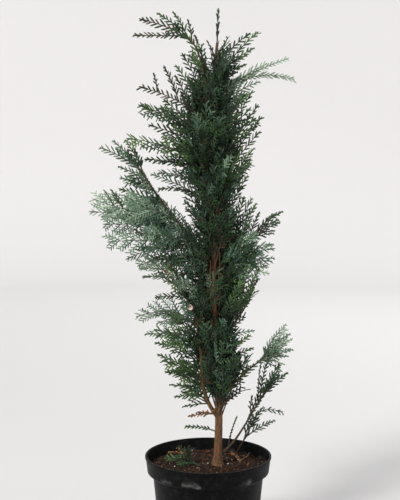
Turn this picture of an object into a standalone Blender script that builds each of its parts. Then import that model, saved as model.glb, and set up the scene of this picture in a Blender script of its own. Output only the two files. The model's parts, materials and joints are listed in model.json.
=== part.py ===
"""A young Lawson cypress in its round nursery pot, 0.81 m tall with the pot.

Metres, +Z up, seen from -Y. The origin is the middle of the pot's flat underside.
The trunk stands on the potting soil and runs up to its tip. Thin boughs leave it at steep angles.
Each mass of foliage is a flat spray: a three-sided twig with toothed blades on both sides of it.
"""

import math
from dataclasses import dataclass

import bmesh
import bpy
from mathutils import Matrix, Vector
from mathutils.bvhtree import BVHTree

MM = 0.001
CLEAR = 0.3 * MM  # between pieces that touch on the real plant

# The pot, a turned shell with a thick rolled band under its lip
POT_HEIGHT = 150 * MM
LIP_RADIUS = 95 * MM
BAND_RADIUS = 91.5 * MM
BAND_DEPTH = 24 * MM
STEP_DEPTH = 7 * MM
BODY_RADIUS = 83 * MM
FOOT_RADIUS = 71 * MM
WALL = 1.8 * MM
FLOOR = 3 * MM
POT_SIDES = 36
FOOT_EDGE = 1.5 * MM
BAND_EDGE = (1.2 * MM, 3 * MM)  # in and down, where the step rounds into the band
LIP_EDGE = 0.9 * MM
INNER_RISE = 0.8 * MM  # how much higher each step lies inside than outside
DRAIN_COUNT = 6
DRAIN_SIDES = 8
DRAIN_RADIUS = 6 * MM
DRAIN_CIRCLE = 54 * MM

# The potting soil, a plug with a level top that sinks a little at the wall
SOIL_TOP = POT_HEIGHT - 16 * MM
SOIL_LEVEL_RADIUS = 70 * MM
SOIL_SINK = 2.5 * MM

# The trunk: how far its middle lies from the pot's axis at each height above the soil
TRUNK_HEIGHT = 628 * MM
TRUNK_LEAN = (
    (0, 14, 0),
    (80, 16, 0),
    (160, 13, 3),
    (256, 8, 2),
    (340, 9, 0),
    (458, 2, 0),
    (512, 0, 0),
    (566, 5, 0),
    (628, 12.5, 0),
)
TRUNK_RADIUS = 6.6 * MM
TRUNK_TIP_RADIUS = 1.5 * MM
FLARE = 3.2 * MM
FLARE_HEIGHT = 16 * MM
TRUNK_SIDES = 10
TRUNK_STATIONS = 15

# The foliage: a three-sided twig, and toothed blades that fork from it in a flat spray
TWIG_SIDES = 3
TWIG_SPANS = 3
TWIG_RADIUS = 1.3 * MM
TWIG_TIP_RADIUS = 0.7 * MM
TWIG_PAST = 0.06  # how far a twig runs on into its end blade, as a share of its reach
FIRST_BLADE = 0.1  # where the side blades start and how far they spread, as shares of the twig
BLADE_STRETCH = 0.56
BLADE_FADE = 0.35  # how much shorter a side blade at the tip would be
END_BLADE = (0.3, 0.8)  # the end blade's least length, of the reach and of the longest side blade
LEAST_BLADE = 15 * MM
FORK = math.radians(46)  # between a twig and its side blades
TILT = math.radians(30)  # each blade leaves the spray's plane by this, one up and the next down

# A toothed blade, in its own frame
BLADE_THICKNESS = 1.1 * MM
RIB = 1.4 * MM  # half the width between its teeth
TOOTH_PITCH = 13.5 * MM
TOOTH_START = 0.3  # plain stretches before the first tooth and after the last, in teeth
TIP_LENGTH = 0.5
TOOTH_REACH = 0.34  # how far a tooth reaches sideways, as a share of the blade's length
TOOTH_FADE = 1.15  # it shrinks to nothing this many blade lengths from the root
TOOTH_LEAN = 1.1  # how far a tooth runs forward for each step outward
CURL = 0.12
BLADE_TRIES = ((0, 1.0), (0.5, 1.0), (-0.5, 1.0), (0, 0.7))  # swing about the rib in radians, and size
SHARP_ANGLE = math.radians(35)

GREEN = (0.05, 0.11, 0.07)
BLUE_GREEN = (0.12, 0.22, 0.18)
BARK = (0.16, 0.085, 0.045)
SOIL = (0.035, 0.018, 0.011)
BLACK = (0.011, 0.011, 0.012)


@dataclass
class Limb:
    """A bough: where it leaves its parent, the compass bearing that it keeps, and how steeply it climbs."""

    name: str
    parent: str
    at: float  # height above the soil in mm on the trunk, or the share of a bough's length
    bearing: float  # degrees: 0 is +X, 90 is +Y
    rises: tuple  # degrees above level, evenly spaced along it
    length: float  # mm
    radius: float  # mm at its root


@dataclass
class Spray:
    """A mass of foliage: where its twig leaves a limb, where it points, and how wide it fans."""

    name: str
    limb: str
    at: float
    bearing: float
    rise: float
    reach: float  # mm
    upper: float  # mm, the longest blade on its upper side
    lower: float  # mm, the longest blade on its lower side
    pairs: int
    turn: float = 0.0  # degrees that its plane turns about the twig, from upright
    bow: float = 0.06  # the twig's upward bulge, as a share of its reach
    glaucous: bool = False


LIMBS = (
    Limb("left_stem", "trunk", 70, 201, (56, 88, 84, 60, 42), 236, 3.2),
    Limb("left_bough", "trunk", 254, 192, (62, 76, 50, 54, 60), 204, 2.6),
    Limb("top_left_bough", "trunk", 552, 196, (68, 78, 68, 30), 86, 1.9),
    Limb("right_low_bough", "trunk", 92, 357, (58, 44, 34), 84, 2.1),
    Limb("right_base_bough", "trunk", 12, 8, (40, 56, 60, 56), 104, 1.9),
    Limb("right_limb", "trunk", 182, 352, (48, 57, 58), 76, 2.2),
    Limb("right_wing_bough", "trunk", 286, 352, (54, 46, 34), 80, 2.2),
    Limb("bare_twig", "trunk", 82, 346, (52, 38, 6), 52, 1.0),
)
LIMB_TIP_SHARE = 0.55  # a bough's tip radius, as a share of its root's
LIMB_SIDES = 6
LIMB_STATION = 28 * MM

# A low shoot that rises straight from the soil
SHOOT = Limb("soil_shoot", "soil", 0, 4, (76, 58, 50), 42, 1.5)
SHOOT_FOOT = Vector((42 * MM, 38 * MM, SOIL_TOP + CLEAR))

SPRAYS = (
    Spray("leader", "trunk", 628, 20, 88, 48, 15, 15, 2, 20, 0.0),
    Spray("top_left_spray", "top_left_bough", 1, 190, 0, 75, 46, 20, 2, 20, 0.0),
    Spray("top_left_inner_spray", "trunk", 540, 148, 62, 72, 28, 34, 2, 30),
    Spray("top_right_spray", "trunk", 572, 334, 46, 98, 34, 36, 2, -20),
    Spray("top_right_low_spray", "trunk", 552, 14, 8, 126, 46, 26, 3, 15, 0.12, True),
    Spray("upper_left_spray", "trunk", 512, 206, 27, 116, 54, 34, 3, -22),
    Spray("upper_left_low_spray", "trunk", 482, 154, 24, 118, 36, 50, 3, 24, 0.1),
    Spray("left_mid_spray", "trunk", 440, 204, 20, 134, 38, 38, 3, 20, 0.08),
    Spray("left_mid_low_spray", "trunk", 415, 152, 17, 104, 34, 44, 2, -25, 0.08),
    Spray("left_arch_spray", "trunk", 392, 210, 14, 88, 26, 34, 2, 25, 0.12),
    Spray("great_left_top", "left_bough", 1, 186, 37, 76, 36, 26, 3, -15, 0.05, True),
    Spray("great_left_side", "left_bough", 0.84, 158, 17, 54, 30, 28, 2, 25, 0.05, True),
    Spray("great_left_upper", "left_bough", 0.6, 197, 14, 130, 46, 38, 3, 18, -0.03, True),
    Spray("great_left_lower", "left_bough", 0.5, 164, 3, 124, 36, 36, 3, -25, 0.03, True),
    Spray("great_left_under", "left_bough", 0.4, 205, -1, 128, 32, 34, 3, 25, 0.03, True),
    Spray("great_left_droop", "left_bough", 0.26, 158, -9, 108, 32, 30, 2, -30, 0.1, True),
    Spray("left_stem_spray", "left_stem", 1, 200, 6, 48, 36, 36, 2, 20, 0.05, True),
    Spray("left_dark_spray", "left_stem", 0.8, 138, 12, 60, 22, 22, 2, -20),
    Spray("left_pale_spray", "left_stem", 0.6, 206, 3, 104, 36, 32, 3, -25, 0.1, True),
    Spray("left_green_spray", "left_stem", 0.44, 152, 18, 98, 30, 44, 3, 28),
    Spray("left_low_spray", "left_stem", 0.26, 212, 29, 88, 30, 40, 3, -25),
    Spray("left_foot_spray", "left_stem", 0.12, 152, 22, 62, 34, 42, 2, 25),
    Spray("right_upper_spray", "trunk", 470, 26, 55, 106, 30, 36, 2, -25),
    Spray("right_side_spray", "trunk", 432, 336, 46, 118, 34, 44, 3, 25),
    Spray("right_mid_spray", "trunk", 386, 24, 45, 100, 32, 44, 3, -28),
    Spray("right_fan_spray", "right_wing_bough", 0.5, 30, 67, 80, 38, 38, 3, 25),
    Spray("right_wing_spray", "right_wing_bough", 1, 352, 30, 44, 20, 20, 2, -20),
    Spray("right_pale_spray", "right_wing_bough", 0.36, 336, 0, 70, 44, 42, 3, 30, 0.0, True),
    Spray("right_limb_spray", "right_limb", 1, 16, 56, 52, 36, 26, 2, -25),
    Spray("right_low_spray", "trunk", 150, 334, 34, 66, 24, 30, 3, 25),
    Spray("right_bough_spray", "right_low_bough", 1, 16, 52, 66, 30, 44, 3, -20, 0.0, True),
    Spray("right_base_spray", "right_base_bough", 1, 344, 62, 70, 26, 44, 3, 25),
    Spray("soil_shoot_spray", "soil_shoot", 1, 14, 34, 76, 24, 36, 2, 15, 0.2),
    Spray("left_sprig", "trunk", 50, 168, 4, 50, 18, 16, 2),
    Spray("soil_sprig", "soil", 0, 200, 56, 38, 22, 22, 1, 0, 0.0),
)
SPRIG_FOOT = Vector((-24 * MM, -2 * MM, SOIL_TOP))

# The dense column of sprays before and behind the trunk, by a rule
COLUMN_COUNT = 13
COLUMN_LOW = 82 * MM
COLUMN_HIGH = 590 * MM
COLUMN_REACH = (104, 78)  # mm, lowest and highest
COLUMN_BLADE = (58, 44)
STEM_TOP = 270  # mm above the soil: below it the front sprays stand on the left stem
COLUMN_SWING = 46  # degrees either side of straight before and straight behind
COLUMN_RISE = (50, 12)  # degrees: the middle value, and how far it swings
COLUMN_TURN = (70, 50)  # degrees: the first plane's turn, and the step down to the next two
COLUMN_PAIRS = 3
COLUMN_BOW = 0.03
GOLDEN = 137.5  # degrees between one spray and the next round a stem

# The search for where a twig's end cap comes clear of the limb that carries it
CAP_POINTS = 16
SEARCH_STEP = 0.05 * MM


def smooth_line(points, count):
    """count points, evenly spread over the spans of a Catmull-Rom curve through the given ones."""
    ends = [points[0] * 2 - points[1], *points, points[-1] * 2 - points[-2]]
    spans = len(points) - 1
    line = []
    for i in range(count):
        at = i / (count - 1) * spans
        k = min(int(at), spans - 1)
        t = at - k
        a, b, c, d = ends[k : k + 4]
        line.append(
            (2 * b + (c - a) * t + (2 * a - 5 * b + 4 * c - d) * t**2 + (3 * b - a - 3 * c + d) * t**3) / 2
        )
    return line


def compass(bearing, rise):
    """The unit vector at this bearing and rise, both in degrees."""
    b, r = math.radians(bearing), math.radians(rise)
    return Vector((math.cos(b) * math.cos(r), math.sin(b) * math.cos(r), math.sin(r)))


def along(line, share):
    """The point and the direction at this share of a line's length."""
    steps = [(b - a).length for a, b in zip(line, line[1:])]
    left = share * sum(steps)
    for a, b, step in zip(line, line[1:], steps):
        if left <= step or b is line[-1]:
            return a.lerp(b, left / step), (b - a).normalized()
        left -= step


def frames(line):
    """A matrix at each point of a line, its Z along the line, turned as little as can be."""
    made = []
    z = (line[1] - line[0]).normalized()
    x = z.orthogonal().normalized()
    for i, point in enumerate(line):
        after = line[min(i + 1, len(line) - 1)] - line[max(i - 1, 0)]
        turned = z.rotation_difference(after.normalized())
        x = turned @ x
        z = after.normalized()
        made.append(Matrix.Translation(point) @ Matrix((x, z.cross(x), z)).transposed().to_4x4())
    return made


def add_limb(bm, line, radii, sides):
    """A tapering limb: a round cap pushed out along its line."""
    ring = bmesh.ops.create_circle(bm, cap_ends=True, segments=sides, radius=1.0)["verts"]
    cap = ring[0].link_faces[0]
    placed = Matrix.Identity(4)
    for i, (frame, radius) in enumerate(zip(frames(line), radii)):
        if i:
            pushed = bmesh.ops.extrude_face_region(bm, geom=[cap, *cap.edges, *cap.verts])["geom"]
            ring = [g for g in pushed if isinstance(g, bmesh.types.BMVert)]
            cap = next(g for g in pushed if isinstance(g, bmesh.types.BMFace))
        target = frame @ Matrix.Diagonal((radius, radius, 1, 1))
        bmesh.ops.transform(bm, matrix=target @ placed.inverted(), verts=ring)
        placed = target
    bmesh.ops.recalc_face_normals(bm, faces=bm.faces[:])


def add_object(name, bm, material):
    """The bmesh as a smooth-shaded object of this name."""
    mesh = bpy.data.meshes.new(name)
    bm.to_mesh(mesh)
    bm.free()
    mesh.materials.append(material)
    mesh.shade_smooth()
    mesh.set_sharp_from_angle(angle=SHARP_ANGLE)
    made = bpy.data.objects.new(name, mesh)
    bpy.context.scene.collection.objects.link(made)
    return made


def finish(name, colour, roughness):
    """A plain Principled material."""
    material = bpy.data.materials.new(name)
    material.use_nodes = True
    shader = material.node_tree.nodes["Principled BSDF"]
    shader.inputs["Base Color"].default_value = (*colour, 1)
    shader.inputs["Roughness"].default_value = roughness
    return material


def turned(name, profile, material):
    """A profile of (radius, height) pairs spun about the pot's axis and closed on it."""
    bm = bmesh.new()
    verts = [bm.verts.new((radius, 0, height)) for radius, height in profile]
    edges = [bm.edges.new(pair) for pair in zip(verts, verts[1:])]
    bmesh.ops.spin(
        bm,
        geom=verts + edges,
        cent=(0, 0, 0),
        axis=(0, 0, 1),
        angle=math.tau,
        steps=POT_SIDES,
        use_merge=True,
    )
    bmesh.ops.remove_doubles(bm, verts=bm.verts[:], dist=0.01 * MM)
    bmesh.ops.recalc_face_normals(bm, faces=bm.faces[:])
    return add_object(name, bm, material)


BAND_FOOT = POT_HEIGHT - BAND_DEPTH
BODY_TOP = BAND_FOOT - STEP_DEPTH


def make_pot(material):
    """The pot: a thin shell, stepped out at its band, with drain holes through its floor."""
    outer = [
        (0, 0),
        (FOOT_RADIUS - FOOT_EDGE, 0),
        (FOOT_RADIUS, FOOT_EDGE),
        (BODY_RADIUS, BODY_TOP),
        (BAND_RADIUS - BAND_EDGE[0], BAND_FOOT - BAND_EDGE[1]),
        (BAND_RADIUS, BAND_FOOT),
        (LIP_RADIUS, POT_HEIGHT - LIP_EDGE),
        (LIP_RADIUS - LIP_EDGE, POT_HEIGHT),
    ]
    inner = [
        (LIP_RADIUS - WALL, POT_HEIGHT),
        (BAND_RADIUS - WALL, BAND_FOOT + INNER_RISE),
        (BODY_RADIUS - WALL, BODY_TOP + INNER_RISE),
        (FOOT_RADIUS - WALL, FLOOR),
        (0, FLOOR),
    ]
    pot = turned("pot", outer + inner, material)
    for k in range(DRAIN_COUNT):
        turn = math.tau * (k + 0.5) / DRAIN_COUNT
        bm = bmesh.new()
        bmesh.ops.create_cone(
            bm,
            cap_ends=True,
            segments=DRAIN_SIDES,
            radius1=DRAIN_RADIUS,
            radius2=DRAIN_RADIUS,
            depth=4 * FLOOR,
        )
        place = Vector((math.cos(turn), math.sin(turn), 0)) * DRAIN_CIRCLE
        bmesh.ops.translate(bm, vec=place, verts=bm.verts[:])
        drill = add_object(f"drain_cutter_{k}", bm, material)
        drill.hide_render = True
        drill.display_type = "WIRE"
        cut = pot.modifiers.new(f"drain_{k}", "BOOLEAN")
        cut.operation = "DIFFERENCE"
        cut.object = drill
    return pot


def make_soil(material):
    """The potting soil: it fills the pot to a little under the lip, clear of the wall by a hair."""
    side = WALL + CLEAR
    lip_slope = (LIP_RADIUS - BAND_RADIUS) / BAND_DEPTH
    edge = BAND_RADIUS - side + lip_slope * (SOIL_TOP - SOIL_SINK - BAND_FOOT)
    profile = [
        (0, FLOOR + CLEAR),
        (FOOT_RADIUS - side, FLOOR + CLEAR),
        (BODY_RADIUS - side, BODY_TOP + INNER_RISE + CLEAR),
        (BAND_RADIUS - side, BAND_FOOT + INNER_RISE + CLEAR),
        (edge, SOIL_TOP - SOIL_SINK),
        (SOIL_LEVEL_RADIUS, SOIL_TOP),
        (0, SOIL_TOP),
    ]
    return turned("soil", profile, material)


def trunk_line():
    """The trunk's middle, from its flat foot on the soil to its tip."""
    points = [Vector((x * MM, y * MM, SOIL_TOP + CLEAR + z * MM)) for z, x, y in TRUNK_LEAN]
    line = smooth_line(points, TRUNK_STATIONS)
    flare = line[0].lerp(line[1], FLARE_HEIGHT / (line[1] - line[0]).length)
    return [line[0], flare, *line[1:]]


def trunk_radius(height):
    """The trunk's radius at a height above the soil: an even taper, and a root flare at the foot."""
    taper = TRUNK_RADIUS + (TRUNK_TIP_RADIUS - TRUNK_RADIUS) * (height / TRUNK_HEIGHT) ** 0.8
    return taper + FLARE * max(0, 1 - height / FLARE_HEIGHT)


def limb_line(limb, root):
    """A bough's middle: it keeps its bearing, and its rise changes evenly from one value to the next."""
    count = max(len(limb.rises), round(limb.length * MM / LIMB_STATION)) + 1
    step = limb.length * MM / (count - 1)
    line = [root]
    for i in range(count - 1):
        at = (i + 0.5) / (count - 1) * (len(limb.rises) - 1)
        k = min(int(at), len(limb.rises) - 2)
        rise = limb.rises[k] + (limb.rises[k + 1] - limb.rises[k]) * (at - k)
        line.append(line[-1] + compass(limb.bearing, rise) * step)
    return line


class Plant:
    """The limbs and sprays placed so far, with the surfaces that new ones keep clear of."""

    def __init__(self):
        self.lines = {}
        self.surfaces = []  # (name of the piece, its search tree, low corner, high corner)

    def keep_clear_of(self, name, bm):
        low, high = box_of(bm)
        self.surfaces.append((name, BVHTree.FromBMesh(bm), low, high))

    def tree(self, name):
        return next(tree for owner, tree, _, _ in self.surfaces if owner == name)

    def meets(self, name, bm):
        """The name of a piece of another mass that a shape runs into, if there is one."""
        low, high = box_of(bm)
        tree = BVHTree.FromBMesh(bm)
        for owner, other, other_low, other_high in self.surfaces:
            apart = any(low[k] > other_high[k] or high[k] < other_low[k] for k in range(3))
            if owner != name and not apart and tree.overlap(other):
                return owner
        return None

    def root_on(self, name, at, direction, radius):
        """Where a twig's end cap stands clear of the limb that carries it."""
        line = self.lines[name]
        share = at * MM / TRUNK_HEIGHT if name == "trunk" else at
        point, _ = along(line, share)
        near = self.tree(name)
        side = direction.orthogonal().normalized() * radius
        turns = [Matrix.Rotation(math.tau * k / CAP_POINTS, 3, direction) for k in range(CAP_POINTS)]
        cap = [turn @ side * share for turn in turns for share in (1, 0.67, 0.33)]
        root = point
        while min(gap_outside(near, root + offset) for offset in cap) < CLEAR:
            root = root + direction * SEARCH_STEP
        return root


def gap_outside(tree, point):
    """The distance from a closed surface to a point, negative inside it."""
    place, normal, _, distance = tree.find_nearest(point)
    return distance if (point - place).dot(normal) > 0 else -distance


def box_of(bm):
    corners = [v.co for v in bm.verts]
    return (
        Vector([min(c[k] for c in corners) for k in range(3)]),
        Vector([max(c[k] for c in corners) for k in range(3)]),
    )


def make_trunk(plant, material):
    line = trunk_line()
    radii = [trunk_radius((point - line[0]).length) for point in line]
    bm = bmesh.new()
    add_limb(bm, line, radii, TRUNK_SIDES)
    foot = [v for v in bm.verts if v.co.z < SOIL_TOP + 2 * MM]
    for vert in foot:
        vert.co.z = SOIL_TOP + CLEAR
    plant.lines["trunk"] = line
    plant.keep_clear_of("trunk", bm)
    add_object("trunk", bm, material)


def make_bough(plant, limb, material):
    """One tapering limb, from clear of its parent to where it enters its mass of foliage."""
    if limb.parent == "soil":
        root = SHOOT_FOOT
    else:
        start = compass(limb.bearing, limb.rises[0])
        root = plant.root_on(limb.parent, limb.at, start, limb.radius * MM)
    line = limb_line(limb, root)
    count = len(line) - 1
    radii = [limb.radius * MM * (1 - (1 - LIMB_TIP_SHARE) * i / count) for i in range(count + 1)]
    bm = bmesh.new()
    add_limb(bm, line, radii, LIMB_SIDES)
    for vert in bm.verts:
        vert.co.z = max(vert.co.z, SOIL_TOP + CLEAR)
    met = plant.meets(limb.name, bm)
    if met:
        print(limb.name, "meets", met)
    plant.lines[limb.name] = line
    plant.keep_clear_of(limb.name, bm)
    add_object(limb.name, bm, material)


def spray_frame(spray):
    """The spray's twig direction and the direction of its upper side."""
    course = compass(spray.bearing, spray.rise)
    level = Vector((0, 0, 1)).cross(compass(spray.bearing, 0))
    upper = course.cross(level)
    upper = upper if upper.z > 0 else -upper
    return course, Matrix.Rotation(math.radians(spray.turn), 3, course) @ upper


def spray_line(spray, root, end=1.0):
    """The spray's middle line up to this share of it: it bulges a little upwards."""
    course, upper = spray_frame(spray)
    reach = spray.reach * MM
    shares = [end * i / TWIG_SPANS for i in range(TWIG_SPANS + 1)]
    return [root + course * reach * t + upper * reach * spray.bow * 4 * t * (1 - t) for t in shares]


def blade_outline(length, first):
    """The points round a toothed blade: a rib along X, and forward teeth on alternate sides of it.

    first is the side of the first tooth, 1 or -1.
    """
    teeth = max(2, round(length / TOOTH_PITCH))
    pitch = length / (TOOTH_START + teeth + TIP_LENGTH)
    edges = {1: [], -1: []}
    for i in range(teeth):
        x = (TOOTH_START + i) * pitch
        reach = TOOTH_REACH * (TOOTH_FADE * length - x)
        edges[-first if i % 2 else first] += [(x, RIB), (x + TOOTH_LEAN * reach, RIB + reach)]
    neck = ((TOOTH_START + teeth) * pitch, RIB)
    right = [(x, -y) for x, y in (*edges[-1], neck)]
    return [(0, 0), *right, (length, 0), *reversed((*edges[1], neck))]


def add_blade(bm, place, length, first):
    """A toothed blade, thickened and curled. place carries it from its own frame, with Z out of its face."""
    points = blade_outline(length, first)
    flat = bmesh.new()
    face = flat.faces.new([flat.verts.new((x, y, -BLADE_THICKNESS / 2)) for x, y in points])
    flat.normal_update()
    if face.normal.z > 0:
        face.normal_flip()
    bmesh.ops.triangulate(flat, faces=[face])
    pushed = bmesh.ops.extrude_face_region(flat, geom=flat.faces[:])["geom"]
    top = [g for g in pushed if isinstance(g, bmesh.types.BMVert)]
    bmesh.ops.translate(flat, vec=(0, 0, BLADE_THICKNESS), verts=top)
    for vert in flat.verts:
        vert.co.z += CURL * vert.co.x**2 / length
    bmesh.ops.transform(flat, matrix=place, verts=flat.verts[:])
    bmesh.ops.recalc_face_normals(flat, faces=flat.faces[:])
    mesh = bpy.data.meshes.new("blade")
    flat.to_mesh(mesh)
    flat.free()
    bm.from_mesh(mesh)
    bpy.data.meshes.remove(mesh)


def blade_rows(spray):
    """Each side blade of a spray as (share along its twig, side, length), and the end blade last."""
    rows = []
    for k in range(spray.pairs):
        for side, longest in ((1, spray.upper), (-1, spray.lower)):
            share = FIRST_BLADE + BLADE_STRETCH * (k + (0.5 if side < 0 else 0)) / spray.pairs
            length = longest * MM * (1.0 - BLADE_FADE * share)
            rows.append((share, side, max(length, LEAST_BLADE)))
    end = max(END_BLADE[0] * spray.reach, END_BLADE[1] * max(spray.upper, spray.lower)) * MM
    rows.append((1 - end / (spray.reach * MM), 0, end))
    return rows


def blade_place(line, upper, share, side, number):
    """The matrix of a blade: its root on the twig's middle, leaning forward out of it."""
    root, course = along(line, share)
    out_of = course.cross(upper).normalized()
    inward = out_of.cross(course).normalized()
    way = course * math.cos(FORK * side) + inward * math.sin(FORK * side)
    across = out_of.cross(way)
    tilt = TILT if number % 2 else -TILT
    turn = Matrix.Rotation(tilt, 3, way)
    axes = Matrix((way, turn @ across, turn @ out_of)).transposed()
    return Matrix.Translation(root) @ axes.to_4x4()


def clear_copy(bm, grow):
    """A copy whose faces all stand out by this much, to test the gap to other pieces."""
    fat = bm.copy()
    fat.normal_update()
    moves = [vert.normal * grow for vert in fat.verts]
    for vert, move in zip(fat.verts, moves):
        vert.co += move
    return fat


def join_mass(spray, twig, blades, material):
    """One solid: the twig with every blade fused on by a Boolean union over their collection."""
    body = add_object(spray.name, twig, material)
    gathered = bpy.data.collections.new(spray.name + "_blades")
    bpy.context.scene.collection.children.link(gathered)
    for k, blade in enumerate(blades):
        piece = add_object(f"{spray.name}_blade_{k}", blade, material)
        bpy.context.scene.collection.objects.unlink(piece)
        gathered.objects.link(piece)
    union = body.modifiers.new("union", "BOOLEAN")
    union.operation = "UNION"
    union.operand_type = "COLLECTION"
    union.collection = gathered
    bpy.context.view_layer.update()
    graph = bpy.context.evaluated_depsgraph_get()
    joined = bpy.data.meshes.new_from_object(body.evaluated_get(graph))
    body.modifiers.remove(union)
    plain = body.data
    body.data = joined
    bpy.data.meshes.remove(plain)
    for piece in gathered.objects[:]:
        mesh = piece.data
        bpy.data.objects.remove(piece)
        bpy.data.meshes.remove(mesh)
    bpy.data.collections.remove(gathered)
    keep_one_body(joined)


def keep_one_body(mesh):
    """Drops loose scraps, and fills a sealed hollow by dropping its inner skin."""
    bm = bmesh.new()
    bm.from_mesh(mesh)
    left = set(bm.verts)
    bodies = []
    while left:
        body = {left.pop()}
        edge = set(body)
        while edge:
            edge = {e.other_vert(v) for v in edge for e in v.link_edges} - body
            body |= edge
        left -= body
        bodies.append(body)
    largest = max(bodies, key=len)
    bmesh.ops.delete(bm, geom=[v for v in bm.verts if v not in largest], context="VERTS")
    bm.to_mesh(mesh)
    bm.free()


def column_sprays():
    """The upright sprays close before and behind the trunk, from the lowest to the highest."""
    made = []
    for i in range(COLUMN_COUNT):
        share = i / (COLUMN_COUNT - 1)
        side = 270 if i % 2 else 90
        bearing = side + COLUMN_SWING * math.sin(math.radians(GOLDEN * i))
        reach = COLUMN_REACH[0] + (COLUMN_REACH[1] - COLUMN_REACH[0]) * share
        blade = COLUMN_BLADE[0] + (COLUMN_BLADE[1] - COLUMN_BLADE[0]) * share
        height = (COLUMN_LOW + (COLUMN_HIGH - COLUMN_LOW) * share) / MM
        facing = "front" if i % 2 else "back"
        turn = COLUMN_TURN[0] - COLUMN_TURN[1] * (i % 3)
        name = f"{facing}_spray_{i // 2 + 1}"
        rise = COLUMN_RISE[0] + COLUMN_RISE[1] * math.cos(math.radians(GOLDEN * i))
        limb, at = "trunk", height
        if i % 2 and height < STEM_TOP:
            limb, at = "left_stem", (height - LIMBS[0].at) / LIMBS[0].length
        made.append(
            Spray(name, limb, at, bearing, rise, reach, blade, blade, COLUMN_PAIRS, turn, COLUMN_BOW)
        )
    return made


def spray_root(plant, spray):
    """Where a spray's twig starts: clear of its limb, or standing on the soil."""
    if spray.limb != "soil":
        start = spray_line(spray, Vector())[1].normalized()
        return plant.root_on(spray.limb, spray.at, start, TWIG_RADIUS)
    root = SPRIG_FOOT.copy()
    root.z += CLEAR + TWIG_RADIUS * math.cos(math.radians(spray.rise))
    return root


def make_twig(plant, spray):
    """The spray's middle line and its twig, which ends a little way inside the end blade."""
    root = spray_root(plant, spray)
    end_blade = blade_rows(spray)[-1][0]
    radii = [TWIG_RADIUS + (TWIG_TIP_RADIUS - TWIG_RADIUS) * i / TWIG_SPANS for i in range(TWIG_SPANS + 1)]
    bm = bmesh.new()
    add_limb(bm, spray_line(spray, root, end_blade + TWIG_PAST), radii, TWIG_SIDES)
    fat = clear_copy(bm, CLEAR / 2)
    met = plant.meets(spray.name, fat)
    fat.free()
    if met:
        print(spray.name, "meets", met)
    plant.keep_clear_of(spray.name, bm)
    return spray_line(spray, root), bm


def make_blade(plant, spray, line, number, row):
    """One blade of a spray, or None where each try would touch another piece."""
    share, side, length = row
    _, upper = spray_frame(spray)
    for extra, (swing, size) in enumerate(BLADE_TRIES):
        place = blade_place(line, upper, share, side, number + extra) @ Matrix.Rotation(swing, 4, "X")
        bm = bmesh.new()
        add_blade(bm, place, length * size, 1 if number % 2 else -1)
        fat = clear_copy(bm, CLEAR)
        met = plant.meets(spray.name, fat)
        fat.free()
        if not met:
            plant.keep_clear_of(spray.name, bm)
            return bm
        bm.free()
    return None


def make_sprays(plant, sprays, green, blue_green):
    """Every twig first, then the blades in turn, leaving out each that would touch another piece."""
    twigs = {spray.name: make_twig(plant, spray) for spray in sprays}
    left_out = 0
    for spray in sprays:
        line, twig = twigs[spray.name]
        made = [make_blade(plant, spray, line, number, row) for number, row in enumerate(blade_rows(spray))]
        blades = [blade for blade in made if blade]
        left_out += len(made) - len(blades)
        join_mass(spray, twig, blades, blue_green if spray.glaucous else green)
    print("blades left out:", left_out)


def main():
    for thing in bpy.data.objects[:]:
        bpy.data.objects.remove(thing)
    plastic = finish("pot_plastic", BLACK, 0.45)
    bark = finish("bark", BARK, 0.85)
    green = finish("foliage", GREEN, 0.7)
    blue_green = finish("glaucous_foliage", BLUE_GREEN, 0.7)
    make_pot(plastic)
    make_soil(finish("potting_soil", SOIL, 0.95))
    plant = Plant()
    make_trunk(plant, bark)
    for limb in (*LIMBS, SHOOT):
        make_bough(plant, limb, bark)
    make_sprays(plant, [*SPRAYS, *column_sprays()], green, blue_green)


main()
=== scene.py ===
# %% [markdown]
# A young Lawson cypress in its black nursery pot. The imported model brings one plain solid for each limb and
# for each mass of foliage, and those carry the size and the collision. This script dresses them: bark with
# relief, foliage carried down to single scaly tips, a turned pot and loose potting soil. Loading the frame
# puts every solid in its place, in metres, and nothing below moves or reshapes one.

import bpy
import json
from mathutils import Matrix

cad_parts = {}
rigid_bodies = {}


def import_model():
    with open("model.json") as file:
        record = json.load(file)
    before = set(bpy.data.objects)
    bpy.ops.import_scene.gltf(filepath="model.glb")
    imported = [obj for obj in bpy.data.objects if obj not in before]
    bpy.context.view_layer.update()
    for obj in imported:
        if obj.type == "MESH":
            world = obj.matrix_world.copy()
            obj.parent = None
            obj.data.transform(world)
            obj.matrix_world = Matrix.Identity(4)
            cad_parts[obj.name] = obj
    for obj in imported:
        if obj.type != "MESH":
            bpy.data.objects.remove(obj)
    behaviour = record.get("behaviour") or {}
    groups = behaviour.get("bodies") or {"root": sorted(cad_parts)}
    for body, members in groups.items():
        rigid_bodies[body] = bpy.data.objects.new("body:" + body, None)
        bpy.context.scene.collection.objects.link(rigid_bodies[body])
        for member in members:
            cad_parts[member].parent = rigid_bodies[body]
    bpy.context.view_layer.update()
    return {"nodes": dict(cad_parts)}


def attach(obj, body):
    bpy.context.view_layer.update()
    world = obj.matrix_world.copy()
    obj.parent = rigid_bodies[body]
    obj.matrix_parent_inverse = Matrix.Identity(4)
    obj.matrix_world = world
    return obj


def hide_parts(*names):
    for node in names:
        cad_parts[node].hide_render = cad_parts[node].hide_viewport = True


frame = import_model()

# %% Modules and the unit
import json
import math
from dataclasses import dataclass, replace

import bmesh
import bpy
import numpy as np
from mathutils import Matrix, Vector, noise

MM = 0.001
scene = bpy.context.scene
print("a millimetre in metres:", MM)

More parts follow.
